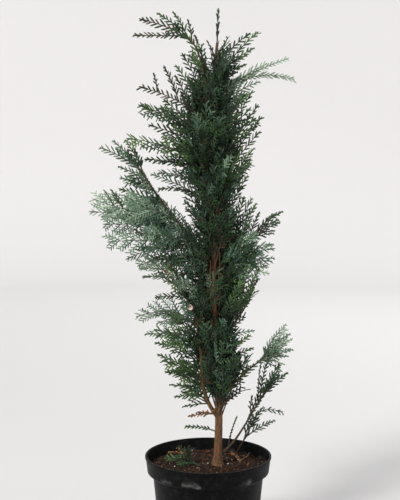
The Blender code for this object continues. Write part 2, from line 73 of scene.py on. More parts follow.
# %% [markdown]
# The camera comes first, because every shape is judged through it. A camera can be placed by eye, but here
# the ellipse of the pot's rim and the plant's known height fix it: it stands 1.6 m in front of the plant,
# a little to the left, at 0.62 m, and looks down by about six degrees. Its lens is written as the focal
# length in pixels, which is how it was worked out, and turned into millimetres for a 36 mm sensor.

# %% Camera
CAMERA_PLACE = (-0.0123, -1.6007, 0.623)
LOOK_DOWN = math.radians(5.82)
FOCAL_PIXELS = 1088.3
LONG_SIDE_PIXELS = 500
SENSOR = 36.0

camera_data = bpy.data.cameras.new("camera")
camera_data.sensor_width = SENSOR
camera_data.lens = SENSOR * FOCAL_PIXELS / LONG_SIDE_PIXELS
camera = bpy.data.objects.new("camera", camera_data)
camera.location = CAMERA_PLACE
camera.rotation_euler = (math.pi / 2 - LOOK_DOWN, 0, 0)
scene.collection.objects.link(camera)
scene.camera = camera
scene.view_settings.view_transform = "Standard"
print("lens in mm:", round(camera_data.lens, 2))

# %% [markdown]
# Shader nodes are easier to read as sums than as a web of links. This small class wraps one socket, so that
# `1 - mask * 0.4` adds the Math nodes by itself. One method makes any other node: its settings are set
# first, because they can change which sockets it has, and then its sockets get their values or links.

# %% Shader helper
COLOUR_A, COLOUR_B, COLOUR_OUT = 6, 7, 2  # the Mix node's colour sockets


class Wire:
    """One output socket of a material's nodes, which Python's operators work on."""

    def __init__(self, tree, socket=None):
        self.tree = tree
        self.socket = socket

    def node(self, kind, settings, sockets, output=0):
        """A new node of this kind, and the wire that leaves it."""
        made = self.tree.nodes.new(kind)
        for name, value in settings.items():
            setattr(made, name, value)
        for name, value in sockets.items():
            if isinstance(value, Wire):
                self.tree.links.new(value.socket, made.inputs[name])
            else:
                made.inputs[name].default_value = value
        return Wire(self.tree, made.outputs[output])

    def maths(self, operation, *values):
        """A Math node on these values, which are wires or numbers."""
        return self.node("ShaderNodeMath", {"operation": operation}, dict(enumerate(values)))

    def __add__(self, other):
        return self.maths("ADD", self, other)

    def __rsub__(self, other):
        return self.maths("SUBTRACT", other, self)

    def __mul__(self, other):
        return self.maths("MULTIPLY", self, other)

    __radd__ = __add__
    __rmul__ = __mul__

    def step(self, low, high):
        """0 below low, 1 above high, and smooth between them."""
        sockets = {"Value": self, "From Min": low, "From Max": high}
        return self.node("ShaderNodeMapRange", {"interpolation_type": "SMOOTHSTEP"}, sockets)

    def blend(self, first, second):
        """The first colour where this wire is 0, and the second where it is 1."""
        sockets = {0: self, COLOUR_A: opaque(first), COLOUR_B: opaque(second)}
        return self.node("ShaderNodeMix", {"data_type": "RGBA"}, sockets, COLOUR_OUT)

    def stretched(self, scale):
        """This vector with each axis multiplied, so that a pattern on it is squeezed or drawn out."""
        return self.node("ShaderNodeVectorMath", {"operation": "MULTIPLY"}, {0: self, 1: scale})

    def noise(self, scale, detail=4.0, roughness=0.55):
        """Noise on this vector: its scale is in spots per metre, and each detail is twice as fine."""
        sockets = {"Vector": self, "Scale": scale, "Detail": detail, "Roughness": roughness}
        return self.node("ShaderNodeTexNoise", {}, sockets)

    def bump(self, height, distance):
        """The surface's normal, tilted as if it had this height map in metres times distance."""
        return self.node("ShaderNodeBump", {}, {"Height": height, "Distance": distance, "Strength": 1.0})


def opaque(colour):
    """A colour socket's value: a plain colour gets an alpha of 1, and a wire stays as it is."""
    return colour if isinstance(colour, Wire) else (*colour, 1)


print("a grey with its alpha:", opaque((0.5, 0.5, 0.5)))

# %% Colours and new materials
def linear(*screen):
    """A colour from 0 to 255, as a screen shows it, turned by the sRGB curve into a shader's linear one."""
    return tuple((c / 255 / 12.92 if c < 11 else ((c / 255 + 0.055) / 1.055) ** 2.4) for c in screen)


def new_material(name, **constants):
    """A Principled material, its shader's sockets by name, and a wire of Object coordinates."""
    material = bpy.data.materials.new(name)
    material.use_nodes = True
    tree = material.node_tree
    sockets = tree.nodes["Principled BSDF"].inputs
    for name, value in constants.items():
        sockets[name.replace("_", " ")].default_value = value
    place = Wire(tree).node("ShaderNodeTexCoord", {}, {}, "Object")

    def feed(name, wire):
        tree.links.new(wire.socket, sockets[name])

    return material, place, feed


print("a mid grey on screen is", round(linear(128, 128, 128)[0], 3), "in a shader")

# %% [markdown]
# A studio floor that curves up into a wall has no corner, so nothing competes with the plant. It is one
# profile spun right round the plant, because the plant is looked at from every side, and it stands far
# enough off that no camera is shut out. The spin leaves doubled points at its pole, which are merged.

# %% Turned shapes
MERGE = 0.01 * MM  # points closer than this are one
SMOOTH_UNDER = math.radians(38)  # an edge that turns by less is shaded smooth


def turned(name, profile, steps, material):
    """A profile of (radius, height) pairs in metres, spun about the Z axis, its doubles merged."""
    bm = bmesh.new()
    verts = [bm.verts.new((radius, 0, height)) for radius, height in profile]
    edges = [bm.edges.new(pair) for pair in zip(verts, verts[1:])]
    bmesh.ops.spin(
        bm,
        geom=verts + edges,
        cent=(0, 0, 0),
        axis=(0, 0, 1),
        angle=math.tau,
        steps=steps,
        use_merge=True,
    )
    bmesh.ops.remove_doubles(bm, verts=bm.verts[:], dist=MERGE)
    bmesh.ops.recalc_face_normals(bm, faces=bm.faces[:])
    return add_piece(name, bm, material)


def add_piece(name, bm, material):
    """The bmesh as a smooth-shaded object at the origin."""
    mesh = bpy.data.meshes.new(name)
    bm.to_mesh(mesh)
    bm.free()
    mesh.materials.append(material)
    mesh.shade_smooth()
    mesh.set_sharp_from_angle(angle=SMOOTH_UNDER)
    piece = bpy.data.objects.new(name, mesh)
    scene.collection.objects.link(piece)
    return piece


print("points merge within mm:", round(MERGE / MM, 3))

# %% Floor and backdrop
FLOOR_RADIUS = 3.0
COVE_RADIUS = 0.7
WALL_TOP = 1.5
COVE_STEPS = 10
STUDIO_STEPS = 96
LIT_SPOT = (-0.9, -0.5, 0)  # the paint is greyer round here, where the lamp falls strongest

floor_paint, floor_place, feed_floor = new_material("studio_floor", Roughness=0.85)
from_lamp = floor_place.node(
    "ShaderNodeVectorMath", {"operation": "DISTANCE"}, {0: floor_place, 1: LIT_SPOT}, 1
)
feed_floor("Base Color", from_lamp.step(0.6, 3.6).blend((0.53, 0.519, 0.515), (0.76, 0.745, 0.74)))

cove = [
    (
        FLOOR_RADIUS + COVE_RADIUS * math.sin(math.pi / 2 * i / COVE_STEPS),
        COVE_RADIUS * (1 - math.cos(math.pi / 2 * i / COVE_STEPS)),
    )
    for i in range(COVE_STEPS + 1)
]
outline = [(0, 0), *cove, (FLOOR_RADIUS + COVE_RADIUS, WALL_TOP)]
studio = turned("studio_floor", outline, STUDIO_STEPS, floor_paint)
print("floor radius in m:", FLOOR_RADIUS)

# %% [markdown]
# The plant stands in soft daylight from the front left, high up: its left sprays are pale, and the middle
# of the crown is dark. A sun lamp would draw hard shadows, so one large area light takes its place. A pale
# world fills the shadows, and two weaker lights, from the right and from behind, keep those sides readable.

# %% Lights
def area_light(name, place, size, watts, colour=(1, 1, 1)):
    """A round area light, this wide in metres, that looks at the middle of the crown."""
    data = bpy.data.lights.new(name, "AREA")
    data.shape = "DISK"
    data.size = size
    data.energy = watts
    data.color = colour
    lamp = bpy.data.objects.new(name, data)
    lamp.location = place
    lamp.rotation_euler = (CROWN_MIDDLE - Vector(place)).to_track_quat("-Z", "Y").to_euler()
    scene.collection.objects.link(lamp)


CROWN_MIDDLE = Vector((0, 0, 0.45))
area_light("key", (-1.7, -2.0, 2.5), 0.9, 130, (1.0, 0.99, 0.975))
area_light("fill", (2.4, -1.2, 1.4), 1.6, 22)
area_light("back", (1.2, 2.3, 2.2), 1.2, 18)

world = bpy.data.worlds.new("studio")
world.use_nodes = True
sky = world.node_tree.nodes["Background"].inputs
sky["Color"].default_value = (0.97, 0.985, 1.0, 1)
sky["Strength"].default_value = 0.7
scene.world = world

# %% [markdown]
# The pot is a blown or moulded shell: one thin wall that steps out into a band, with a bead round its lip.
# Spinning its whole outline, outside and inside, gives the wall its thickness in one go. The drain holes
# are cut with a boolean, and the moulded corners are rounded with a bevel, which is what catches the thin
# line of light on the lip.

# %% Pot sizes
POT_HEIGHT = 150 * MM
LIP_RADIUS = 95 * MM
BEAD_DEPTH = 3.4 * MM
BEAD_PROUD = 1.1 * MM
BAND_RADIUS = 91.5 * MM
BAND_FOOT = POT_HEIGHT - 24 * MM
BODY_TOP = BAND_FOOT - 7 * MM
BODY_RADIUS = 83 * MM
FOOT_RADIUS = 71 * MM
WALL = 1.8 * MM
FLOOR = 3 * MM
STEP_INSIDE = 0.8 * MM  # how much higher each step of the wall lies inside than outside
RECESS_RADIUS = 62 * MM  # the hollow under the floor
RECESS_DEPTH = 0.8 * MM
DRAIN_COUNT = 6
DRAIN_RADIUS = 6 * MM
DRAIN_CIRCLE = 54 * MM
DRAIN_SIDES = 24
POT_STEPS = 120
CORNER = 0.7 * MM
SHARPEST = math.radians(12)  # a ring that turns by more than this is rounded
print("pot height and width in mm:", POT_HEIGHT / MM, 2 * LIP_RADIUS / MM)

# %% Pot shell
def make_pot(material):
    """The pot's shell, with its drain holes cut and its turned corners rounded."""
    outline = [
        (0, RECESS_DEPTH),
        (RECESS_RADIUS, RECESS_DEPTH),
        (RECESS_RADIUS + RECESS_DEPTH, 0),
        (FOOT_RADIUS, 0),
        (BODY_RADIUS, BODY_TOP),
        (BAND_RADIUS, BAND_FOOT),
        (LIP_RADIUS - BEAD_PROUD, POT_HEIGHT - BEAD_DEPTH),
        (LIP_RADIUS, POT_HEIGHT - BEAD_DEPTH),
        (LIP_RADIUS, POT_HEIGHT),
        (LIP_RADIUS - WALL - BEAD_PROUD, POT_HEIGHT),
        (BAND_RADIUS - WALL, BAND_FOOT + STEP_INSIDE),
        (BODY_RADIUS - WALL, BODY_TOP + STEP_INSIDE),
        (FOOT_RADIUS - WALL, FLOOR),
        (0, FLOOR),
    ]
    pot = turned("pot_shell", outline, POT_STEPS, material)
    for k in range(DRAIN_COUNT):
        cut_drain(pot, math.tau * (k + 0.5) / DRAIN_COUNT)
    round_rings(pot)
    return pot


print("wall in mm:", round(WALL / MM, 1))

# %% Drain holes
def cut_drain(pot, bearing):
    """Cuts one drain hole through the floor, and applies the cut."""
    bm = bmesh.new()
    round_bar = {"segments": DRAIN_SIDES, "radius1": DRAIN_RADIUS, "radius2": DRAIN_RADIUS}
    bmesh.ops.create_cone(bm, cap_ends=True, depth=4 * FLOOR, **round_bar)
    place = Vector((math.cos(bearing), math.sin(bearing), 0)) * DRAIN_CIRCLE
    bmesh.ops.translate(bm, vec=place, verts=bm.verts[:])
    drill = add_piece("drill", bm, pot.data.materials[0])
    cut = pot.modifiers.new("drain", "BOOLEAN")
    cut.operation = "DIFFERENCE"
    cut.object = drill
    apply_modifiers(pot)
    mesh = drill.data
    bpy.data.objects.remove(drill)
    bpy.data.meshes.remove(mesh)


def apply_modifiers(piece):
    """Makes the piece's mesh what its modifiers show, and drops them."""
    bpy.context.view_layer.update()
    graph = bpy.context.evaluated_depsgraph_get()
    made = bpy.data.meshes.new_from_object(piece.evaluated_get(graph))
    made.name = piece.name
    plain = piece.data
    piece.modifiers.clear()
    piece.data = made
    bpy.data.meshes.remove(plain)


print("drain holes:", DRAIN_COUNT, "across in mm:", round(2 * DRAIN_RADIUS / MM, 1))

# %% Rounded rings
def round_rings(pot):
    """Bevels each ring of edges where the turned outline changes direction sharply."""
    bm = bmesh.new()
    bm.from_mesh(pot.data)
    rings = []
    for edge in bm.edges:
        a, b = edge.verts
        past_drains = math.hypot(a.co.x, a.co.y) > RECESS_RADIUS - 1 * MM
        if past_drains and abs(a.co.z - b.co.z) < MERGE and edge.calc_face_angle(0) > SHARPEST:
            rings.append(edge)
    shape = {"offset": CORNER, "segments": 3, "profile": 0.5, "clamp_overlap": True}
    bmesh.ops.bevel(bm, geom=rings, affect="EDGES", material=-1, **shape)
    bm.to_mesh(pot.data)
    bm.free()
    pot.data.shade_smooth()
    pot.data.set_sharp_from_angle(angle=SMOOTH_UNDER)


print("rings rounded by mm:", round(CORNER / MM, 1))

# %% [markdown]
# Cheap black plastic is never one black. Fine grain breaks its gloss, thin dust and scratches lie all over
# it, and the foot of its band has rubbed pale where pots stood in each other. Each is a mask from noise on
# Object coordinates, and the masks drive colour and roughness together.

# %% Pot plastic
pot_plastic, pot_place, feed_pot = new_material("pot_plastic", Specular_IOR_Level=0.06)
pot_height = pot_place.node("ShaderNodeSeparateXYZ", {}, {"Vector": pot_place}, "Z")
grain = pot_place.noise(900, 2.0)
blotch = pot_place.noise(38, 5.0, 0.62)
scratches = pot_place.stretched((26, 26, 240)).noise(3.0, 3.0)
above_foot = pot_height.step(BAND_FOOT - 3 * MM, BAND_FOOT + 1 * MM)
above_middle = pot_height.step(BAND_FOOT + 3 * MM, BAND_FOOT + 12 * MM)
rubbed = blotch.step(0.52, 0.70) * (above_foot * (1 - above_middle)) * 0.55
dust = pot_place.noise(140, 4.0).step(0.45, 0.8) * 0.05 + scratches.step(0.62, 0.74) * 0.05
feed_pot("Base Color", (rubbed + dust).blend(linear(7, 7, 8), linear(112, 111, 109)))
feed_pot("Roughness", 0.40 + rubbed * 0.3 + blotch * 0.10)
feed_pot("Normal", pot_place.bump(grain + scratches * 0.5, 0.02 * MM))

pot_shell = make_pot(pot_plastic)
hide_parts("pot")
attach(pot_shell, "root")
print("pot faces:", len(pot_shell.data.polygons))

# %% [markdown]
# The potting soil is a plug that fills the pot to 16 mm under the lip. A plain disc would do for what the
# camera sees, but the solid is a whole plug, so its outline is spun as the pot's was. Its top gets close
# rings and an uneven height from noise, and it dips where it shrank from the wall.

# %% Soil bed
CLEAR = 0.3 * MM
SOIL_TOP = POT_HEIGHT - 16 * MM
SOIL_EDGE = 91.2 * MM
SOIL_LEVEL_RADIUS = 70 * MM
SOIL_SINK = 2.5 * MM
SOIL_RINGS = 34
LUMP = 1.1 * MM  # how far the top rises and falls
BROAD_LUMPS = (45, 0.8)  # lumps per metre, and their share of the rise and fall
FINE_LUMPS = (210, 0.55)
LOWERED = 0.4 * MM  # so that hardly any lump passes the solid's top


def soil_height(x, y):
    """The height of the soil's uneven top, level round the trunk's foot."""
    radius = math.hypot(x, y)
    sink = SOIL_SINK * max(0.0, (radius - SOIL_LEVEL_RADIUS) / (SOIL_EDGE - SOIL_LEVEL_RADIUS))
    broad = noise.noise(Vector((x, y, 0)) * BROAD_LUMPS[0]) * BROAD_LUMPS[1]
    fine = noise.noise(Vector((x, y, 0.3)) * FINE_LUMPS[0]) * FINE_LUMPS[1]
    return SOIL_TOP - sink + LUMP * (broad + fine) - LOWERED


def make_soil(material):
    """A plug just clear of the pot's wall and floor, with a lumpy top."""
    side = WALL + CLEAR
    plug = [
        (0, FLOOR + CLEAR),
        (FOOT_RADIUS - side, FLOOR + CLEAR),
        (BODY_RADIUS - side, BODY_TOP + STEP_INSIDE + CLEAR),
        (BAND_RADIUS - side, BAND_FOOT + STEP_INSIDE + CLEAR),
    ]
    top = [(SOIL_EDGE * (1 - i / SOIL_RINGS), SOIL_TOP) for i in range(SOIL_RINGS + 1)]
    bed = turned("soil_bed", [*plug, *top], POT_STEPS, material)
    for vert in bed.data.vertices:
        if vert.co.z > SOIL_TOP - 0.1 * MM:
            vert.co.z = soil_height(vert.co.x, vert.co.y)
    return bed


def soil_material(name, dark, light, grain_scale):
    """Crumbly peat: two browns in clumps, with a rough grain."""
    material, place, feed = new_material(name, Roughness=0.95, Specular_IOR_Level=0.2)
    clumps = place.noise(grain_scale, 6.0, 0.65)
    feed("Base Color", clumps.step(0.38, 0.66).blend(dark, light))
    feed("Normal", place.bump(clumps + place.noise(grain_scale * 4, 3.0) * 0.4, 1.2 * MM))
    return material


peat = soil_material("peat", linear(16, 9, 6), linear(50, 34, 24), 420)
soil_bed = make_soil(peat)
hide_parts("soil")
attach(soil_bed, "root")
print("soil faces:", len(soil_bed.data.polygons))

# %% [markdown]
# Loose soil is never smooth: crumbs, bits of bark and a few grains of white grit lie on it. They are many
# and small, so one rounded lump from `create_icosphere` is copied as an array of points, and every copy is
# squashed and turned its own way. Each kind becomes one joined mesh.

# %% Meshes from arrays
def mesh_piece(name, points, faces, materials, rows=None):
    """A flat-shaded object from arrays of points and triangles. rows gives each triangle its material."""
    mesh = bpy.data.meshes.new(name)
    mesh.vertices.add(len(points))
    mesh.vertices.foreach_set("co", points.astype(np.float32).ravel())
    mesh.loops.add(faces.size)
    mesh.loops.foreach_set("vertex_index", faces.astype(np.int32).ravel())
    mesh.polygons.add(len(faces))
    mesh.polygons.foreach_set("loop_start", np.arange(0, faces.size, 3, dtype=np.int32))
    for material in materials:
        mesh.materials.append(material)
    if rows is not None:
        mesh.polygons.foreach_set("material_index", rows.astype(np.int32))
    mesh.update(calc_edges=True)
    mesh.shade_flat()
    piece = bpy.data.objects.new(name, mesh)
    scene.collection.objects.link(piece)
    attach(piece, "root")
    return piece


def lump_arrays():
    """The points and triangles of one rounded lump of radius 1."""
    bm = bmesh.new()
    bmesh.ops.create_icosphere(bm, subdivisions=1, radius=1.0)
    bm.verts.index_update()
    points = np.array([v.co for v in bm.verts])
    faces = np.array([[v.index for v in f.verts] for f in bm.faces])
    bm.free()
    return points, faces


def random_turns(count, rng):
    """That many random rotation matrices, from unit quaternions."""
    quaternions = rng.normal(size=(4, count))
    w, x, y, z = quaternions / np.linalg.norm(quaternions, axis=0)
    rows = [
        [1 - 2 * (y * y + z * z), 2 * (x * y - z * w), 2 * (x * z + y * w)],
        [2 * (x * y + z * w), 1 - 2 * (x * x + z * z), 2 * (y * z - x * w)],
        [2 * (x * z - y * w), 2 * (y * z + x * w), 1 - 2 * (x * x + y * y)],
    ]
    return np.array(rows).transpose(2, 0, 1)


print("points and triangles of a lump:", *map(len, lump_arrays()))

# %% Crumbs on the soil
CRUMB_KINDS = (  # name, count, size from and to in mm, shape, dark and light colour
    ("soil_crumbs", 1700, 0.8, 2.8, (1.0, 0.85, 0.6), linear(20, 12, 8), linear(60, 40, 28)),
    ("pale_crumbs", 260, 0.7, 2.1, (1.0, 0.8, 0.6), linear(84, 60, 40), linear(140, 108, 78)),
    ("bark_chips", 220, 1.6, 4.6, (1.0, 0.34, 0.22), linear(44, 25, 16), linear(104, 62, 38)),
    ("white_grit", 26, 0.7, 1.5, (1.0, 0.9, 0.8), linear(176, 172, 164), linear(214, 210, 202)),
)
CRUMB_CIRCLE = 88 * MM
CRUMB_GRAIN = 700
CRUMB_BUMPS = (0.75, 1.2)
CRUMB_SEED = 40
RAISED = 0.25  # how far a lump's middle lies above the soil, as a share of its size


def scatter(name, count, least, most, shape, material, rng):
    """Lumps lying on the soil's top, partly sunk into it. The power makes small ones commoner."""
    lump, lump_faces = lump_arrays()
    turns = random_turns(count, rng)
    size = rng.uniform(least, most, count) ** 1.5 / most**0.5 * MM
    bumpy = lump[None] * np.array(shape) * rng.uniform(*CRUMB_BUMPS, (count, len(lump), 1))
    points = np.einsum("nij,nkj->nki", turns, bumpy) * size[:, None, None]
    radius = CRUMB_CIRCLE * np.sqrt(rng.uniform(0, 1, count))
    bearing = rng.uniform(0, math.tau, count)
    x, y = radius * np.cos(bearing), radius * np.sin(bearing)
    z = [soil_height(a, b) + s * RAISED for a, b, s in zip(x, y, size)]
    points += np.stack([x, y, z], axis=1)[:, None]
    faces = lump_faces[None] + len(lump) * np.arange(count)[:, None, None]
    return mesh_piece(name, points.reshape(-1, 3), faces.reshape(-1, 3), [material])


for seed, (name, count, least, most, shape, dark, light) in enumerate(CRUMB_KINDS):
    crumb_material = soil_material(name, dark, light, CRUMB_GRAIN)
    rng = np.random.default_rng(CRUMB_SEED + seed)
    crumbs = scatter(name, count, least, most, shape, crumb_material, rng)
    print(name, len(crumbs.data.polygons))

# %% [markdown]
# The plant grows by the same rule as its solids. The trunk leans a little as it rises. Each bough leaves it
# at a height and a compass bearing, and climbs by a row of rises. Curves drawn by hand would do too, but a
# table is easy to set right one number at a time. It is in millimetres and degrees: bearing 0 is to the
# right, 90 is away from the camera.

# %% Trunk and bough tables
TRUNK_LEAN = (  # height above the soil, then how far the middle lies from the pot's axis in X and Y
    (0, 14, 0),
    (80, 16, 0),
    (160, 13, 3),
    (256, 8, 2),
    (340, 9, 0),
    (458, 2, 0),
    (512, 0, 0),
    (566, 5, 0),
    (628, 12.5, 0),
)
TRUNK_HEIGHT = TRUNK_LEAN[-1][0]
TRUNK_POINTS = 158
TRUNK_RADIUS = 6.6
TRUNK_TIP_RADIUS = 1.5
TRUNK_TAPER = 0.8  # below 1, the trunk thins faster near its foot
FLARE = 3.2
FLARE_HEIGHT = 16
FLARE_CURVE = 1.6


@dataclass
class Limb:
    """A bough: where it leaves its parent, its compass bearing, and how steeply it climbs."""

    name: str
    parent: str
    at: float  # height above the soil on the trunk, or the share of a bough's length
    bearing: float
    rises: tuple  # degrees above level, evenly spaced along it
    length: float
    radius: float


BOUGHS = (
    Limb("left_stem", "trunk", 70, 201, (56, 88, 84, 60, 42), 236, 3.2),
    Limb("left_bough", "trunk", 254, 192, (62, 76, 50, 54, 60), 204, 2.6),
    Limb("top_left_bough", "trunk", 552, 196, (68, 78, 68, 30), 86, 1.9),
    Limb("right_low_bough", "trunk", 92, 357, (58, 44, 34), 84, 2.1),
    Limb("right_base_bough", "trunk", 12, 8, (40, 56, 60, 56), 104, 1.9),
    Limb("right_limb", "trunk", 182, 352, (48, 57, 58), 76, 2.2),
    Limb("right_wing_bough", "trunk", 286, 352, (54, 46, 34), 80, 2.2),
    Limb("bare_twig", "trunk", 82, 346, (52, 38, 6), 52, 1.0),
    Limb("soil_shoot", "soil", 0, 4, (76, 58, 50), 42, 1.5),
)
SHOOT_FOOT = (42, 38)  # where the soil shoot comes up, in mm from the pot's axis
SUNK = 2 * MM  # how deep a stem's foot goes into the soil
TIP_SHARE = 0.55  # a bough's tip radius, as a share of its root's
STEADY = 0.05  # a shoot that leaves its limb at a very flat angle is treated as leaving by this sine
print("boughs:", len(BOUGHS))


# %% Lines
def smooth_line(points, count):
    """count points on a smooth curve through the given ones, as many between each pair as the next."""
    ends = [points[0] * 2 - points[1], *points, points[-1] * 2 - points[-2]]
    line = []
    for i in range(count):
        at = i / (count - 1) * (len(points) - 1)
        k = min(int(at), len(points) - 2)
        t = at - k
        a, b, c, d = ends[k : k + 4]
        line.append(
            (2 * b + (c - a) * t + (2 * a - 5 * b + 4 * c - d) * t**2 + (3 * b - a - 3 * c + d) * t**3) / 2
        )
    return line


def compass(bearing, rise):
    """The unit vector at this bearing and rise."""
    b, r = math.radians(bearing), math.radians(rise)
    return Vector((math.cos(b) * math.cos(r), math.sin(b) * math.cos(r), math.sin(r)))


def along(line, share):
    """The point and the direction at this share of a line's length."""
    steps = [(b - a).length for a, b in zip(line, line[1:])]
    left = share * sum(steps)
    for a, b, step in zip(line, line[1:], steps):
        if left <= step or b is line[-1]:
            return a.lerp(b, left / step), (b - a).normalized()
        left -= step


def limb_line(limb, root, step=4 * MM):
    """A bough's middle from its root on: its rise changes evenly from one value to the next."""
    count = max(len(limb.rises), round(limb.length * MM / step))
    line = [root]
    for i in range(count):
        at = (i + 0.5) / count * (len(limb.rises) - 1)
        k = min(int(at), len(limb.rises) - 2)
        rise = limb.rises[k] + (limb.rises[k + 1] - limb.rises[k]) * (at - k)
        line.append(line[-1] + compass(limb.bearing, rise) * (limb.length * MM / count))
    return line


def trunk_radius(height):
    """The trunk's radius in mm at a height in mm: an even taper, and a root flare at the foot."""
    taper = TRUNK_RADIUS + (TRUNK_TIP_RADIUS - TRUNK_RADIUS) * (height / TRUNK_HEIGHT) ** TRUNK_TAPER
    return taper + FLARE * max(0, 1 - height / FLARE_HEIGHT) ** FLARE_CURVE


print("trunk radius in mm at the soil and at its top:", trunk_radius(0), trunk_radius(TRUNK_HEIGHT))

# %% Lines of the trunk and the boughs
trunk_points = [Vector((x * MM, y * MM, SOIL_TOP + CLEAR + z * MM)) for z, x, y in TRUNK_LEAN]
lines = {"trunk": smooth_line(trunk_points, TRUNK_POINTS)}
limb_radii = {"trunk": TRUNK_RADIUS * MM}


def on_limb(name, at, direction, own_radius):
    """Where a shoot comes out of its limb: its place on the limb's middle, moved out to the bark."""
    share = at / TRUNK_HEIGHT if name == "trunk" else at
    point, course = along(lines[name], share)
    if name == "trunk":
        radius = trunk_radius(at) * MM
    else:
        radius = limb_radii[name] * (1 - (1 - TIP_SHARE) * share)
    reach = (lines[name][-1] - lines[name][0]).length
    through_side = (radius + own_radius) / max(STEADY, direction.cross(course).length)
    through_end = (1 - share) * reach / max(STEADY, direction.dot(course))
    return point, point + direction * (min(through_side, through_end) + CLEAR)


for bough in BOUGHS:
    if bough.parent == "soil":
        inner = Vector((SHOOT_FOOT[0] * MM, SHOOT_FOOT[1] * MM, SOIL_TOP - SUNK))
        root = Vector((inner.x, inner.y, SOIL_TOP + CLEAR))
    else:
        start = compass(bough.bearing, bough.rises[0])
        inner, root = on_limb(bough.parent, bough.at, start, bough.radius * MM)
    lines[bough.name] = limb_line(bough, root)
    lines[bough.name].insert(0, inner)
    limb_radii[bough.name] = bough.radius * MM
print("limb lines:", len(lines))

# %% [markdown]
# A limb is a round cap pushed out along its line, again and again, a few millimetres at a time. The bark of
# a young cypress is thin, with long shallow furrows, so each point is then moved in or out by noise that is
# drawn out along the limb. The relief is in the mesh, and the material only adds the finest fibres.

# %% Frames along a line
def frames(line):
    """A matrix at each point of a line, its Z along the line, turned as little as can be."""
    made = []
    z = (line[1] - line[0]).normalized()
    x = z.orthogonal().normalized()
    for i, point in enumerate(line):
        after = (line[min(i + 1, len(line) - 1)] - line[max(i - 1, 0)]).normalized()
        x = z.rotation_difference(after) @ x
        z = after
        made.append(Matrix.Translation(point) @ Matrix((x, z.cross(x), z)).transposed().to_4x4())
    return made


print("frames of the trunk:", len(frames(lines["trunk"])))

# %% Limbs with bark
STREAKS = (480, 55, 0.75)  # spots per metre round a limb and along it, and how far they stand out
CRACKS = (900, 260, 0.35)


def furrows(point, seed):
    """How far the bark stands out here, about -1 to 1: long streaks, and shorter cracks between them."""
    height = 0
    for across, down, share in (STREAKS, CRACKS):
        spot = Vector((point.x * across, point.y * across, point.z * down + seed))
        height += noise.noise(spot) * share
    return height


def limb_mesh(line, radii, sides, relief, seed):
    """A tapering limb with bark relief, as a bmesh."""
    bm = bmesh.new()
    ring = bmesh.ops.create_circle(bm, cap_ends=True, segments=sides, radius=1.0)["verts"]
    cap = ring[0].link_faces[0]
    placed = Matrix.Identity(4)
    for i, (place, radius) in enumerate(zip(frames(line), radii)):
        if i:
            pushed = bmesh.ops.extrude_face_region(bm, geom=[cap, *cap.edges, *cap.verts])["geom"]
            ring = [g for g in pushed if isinstance(g, bmesh.types.BMVert)]
            cap = next(g for g in pushed if isinstance(g, bmesh.types.BMFace))
        target = place @ Matrix.Diagonal((radius, radius, 1, 1))
        bmesh.ops.transform(bm, matrix=target @ placed.inverted(), verts=ring)
        placed = target
    bmesh.ops.recalc_face_normals(bm, faces=bm.faces[:])
    bm.normal_update()
    moves = [vert.normal * relief * furrows(vert.co, seed) for vert in bm.verts]
    for vert, move in zip(bm.verts, moves):
        vert.co += move
        vert.co.z = max(vert.co.z, SOIL_TOP - SUNK)
    return bm


def join_limbs(name, parts, material):
    """Several limb meshes as one piece."""
    whole = bmesh.new()
    for bm in parts:
        mesh = bpy.data.meshes.new("limb")
        bm.to_mesh(mesh)
        bm.free()
        whole.from_mesh(mesh)
        bpy.data.meshes.remove(mesh)
    return add_piece(name, whole, material)


print("how far the bark stands out at one spot:", round(furrows(trunk_points[1], 0), 2))

# %% Bark
def bark_material(name, deep, ridge, fresh):
    """Thin fibrous bark: dark in its furrows, paler on its ridges, with redder strips where it peels."""
    material, place, feed = new_material(name, Specular_IOR_Level=0.25)
    fibres = place.stretched((1, 1, 0.09)).noise(1500, 5.0, 0.6)
    strips = place.stretched((1, 1, 0.16)).noise(330, 3.0)
    base = fibres.step(0.34, 0.68).blend(deep, ridge)
    feed("Base Color", (strips.step(0.5, 0.64) * 0.7).blend(base, fresh))
    feed("Roughness", 0.72 + fibres * 0.2)
    feed("Normal", place.bump(fibres + strips * 0.6, 0.5 * MM))
    return material


trunk_bark = bark_material("trunk_bark", linear(42, 31, 22), linear(112, 84, 56), linear(116, 74, 44))
bough_bark = bark_material("bough_bark", linear(34, 30, 22), linear(72, 60, 42), linear(78, 56, 36))
stem_bark = bark_material("stem_bark", linear(46, 36, 22), linear(98, 76, 44), linear(118, 74, 38))
young_bark = bark_material("young_bark", linear(34, 26, 15), linear(92, 62, 34), linear(98, 62, 32))
print("barks:", [bark.name for bark in (trunk_bark, bough_bark, stem_bark, young_bark)])

# %% Trunk and boughs
TRUNK_SIDES = 20
TRUNK_RELIEF = 0.45 * MM
BOUGH_SIDES = 10
BOUGH_RELIEF = 0.22 * MM
STEM = "left_stem"  # the one bough whose bark shows, redder than the others'

heights = [(point - lines["trunk"][0]).length / MM for point in lines["trunk"]]
trunk_radii = [trunk_radius(min(height, TRUNK_HEIGHT)) * MM for height in heights]
trunk_mesh = limb_mesh(lines["trunk"], trunk_radii, TRUNK_SIDES, TRUNK_RELIEF, 0)
trunk = join_limbs("trunk_bark", [trunk_mesh], trunk_bark)
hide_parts("trunk")
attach(trunk, "root")
print("trunk faces:", len(trunk.data.polygons))

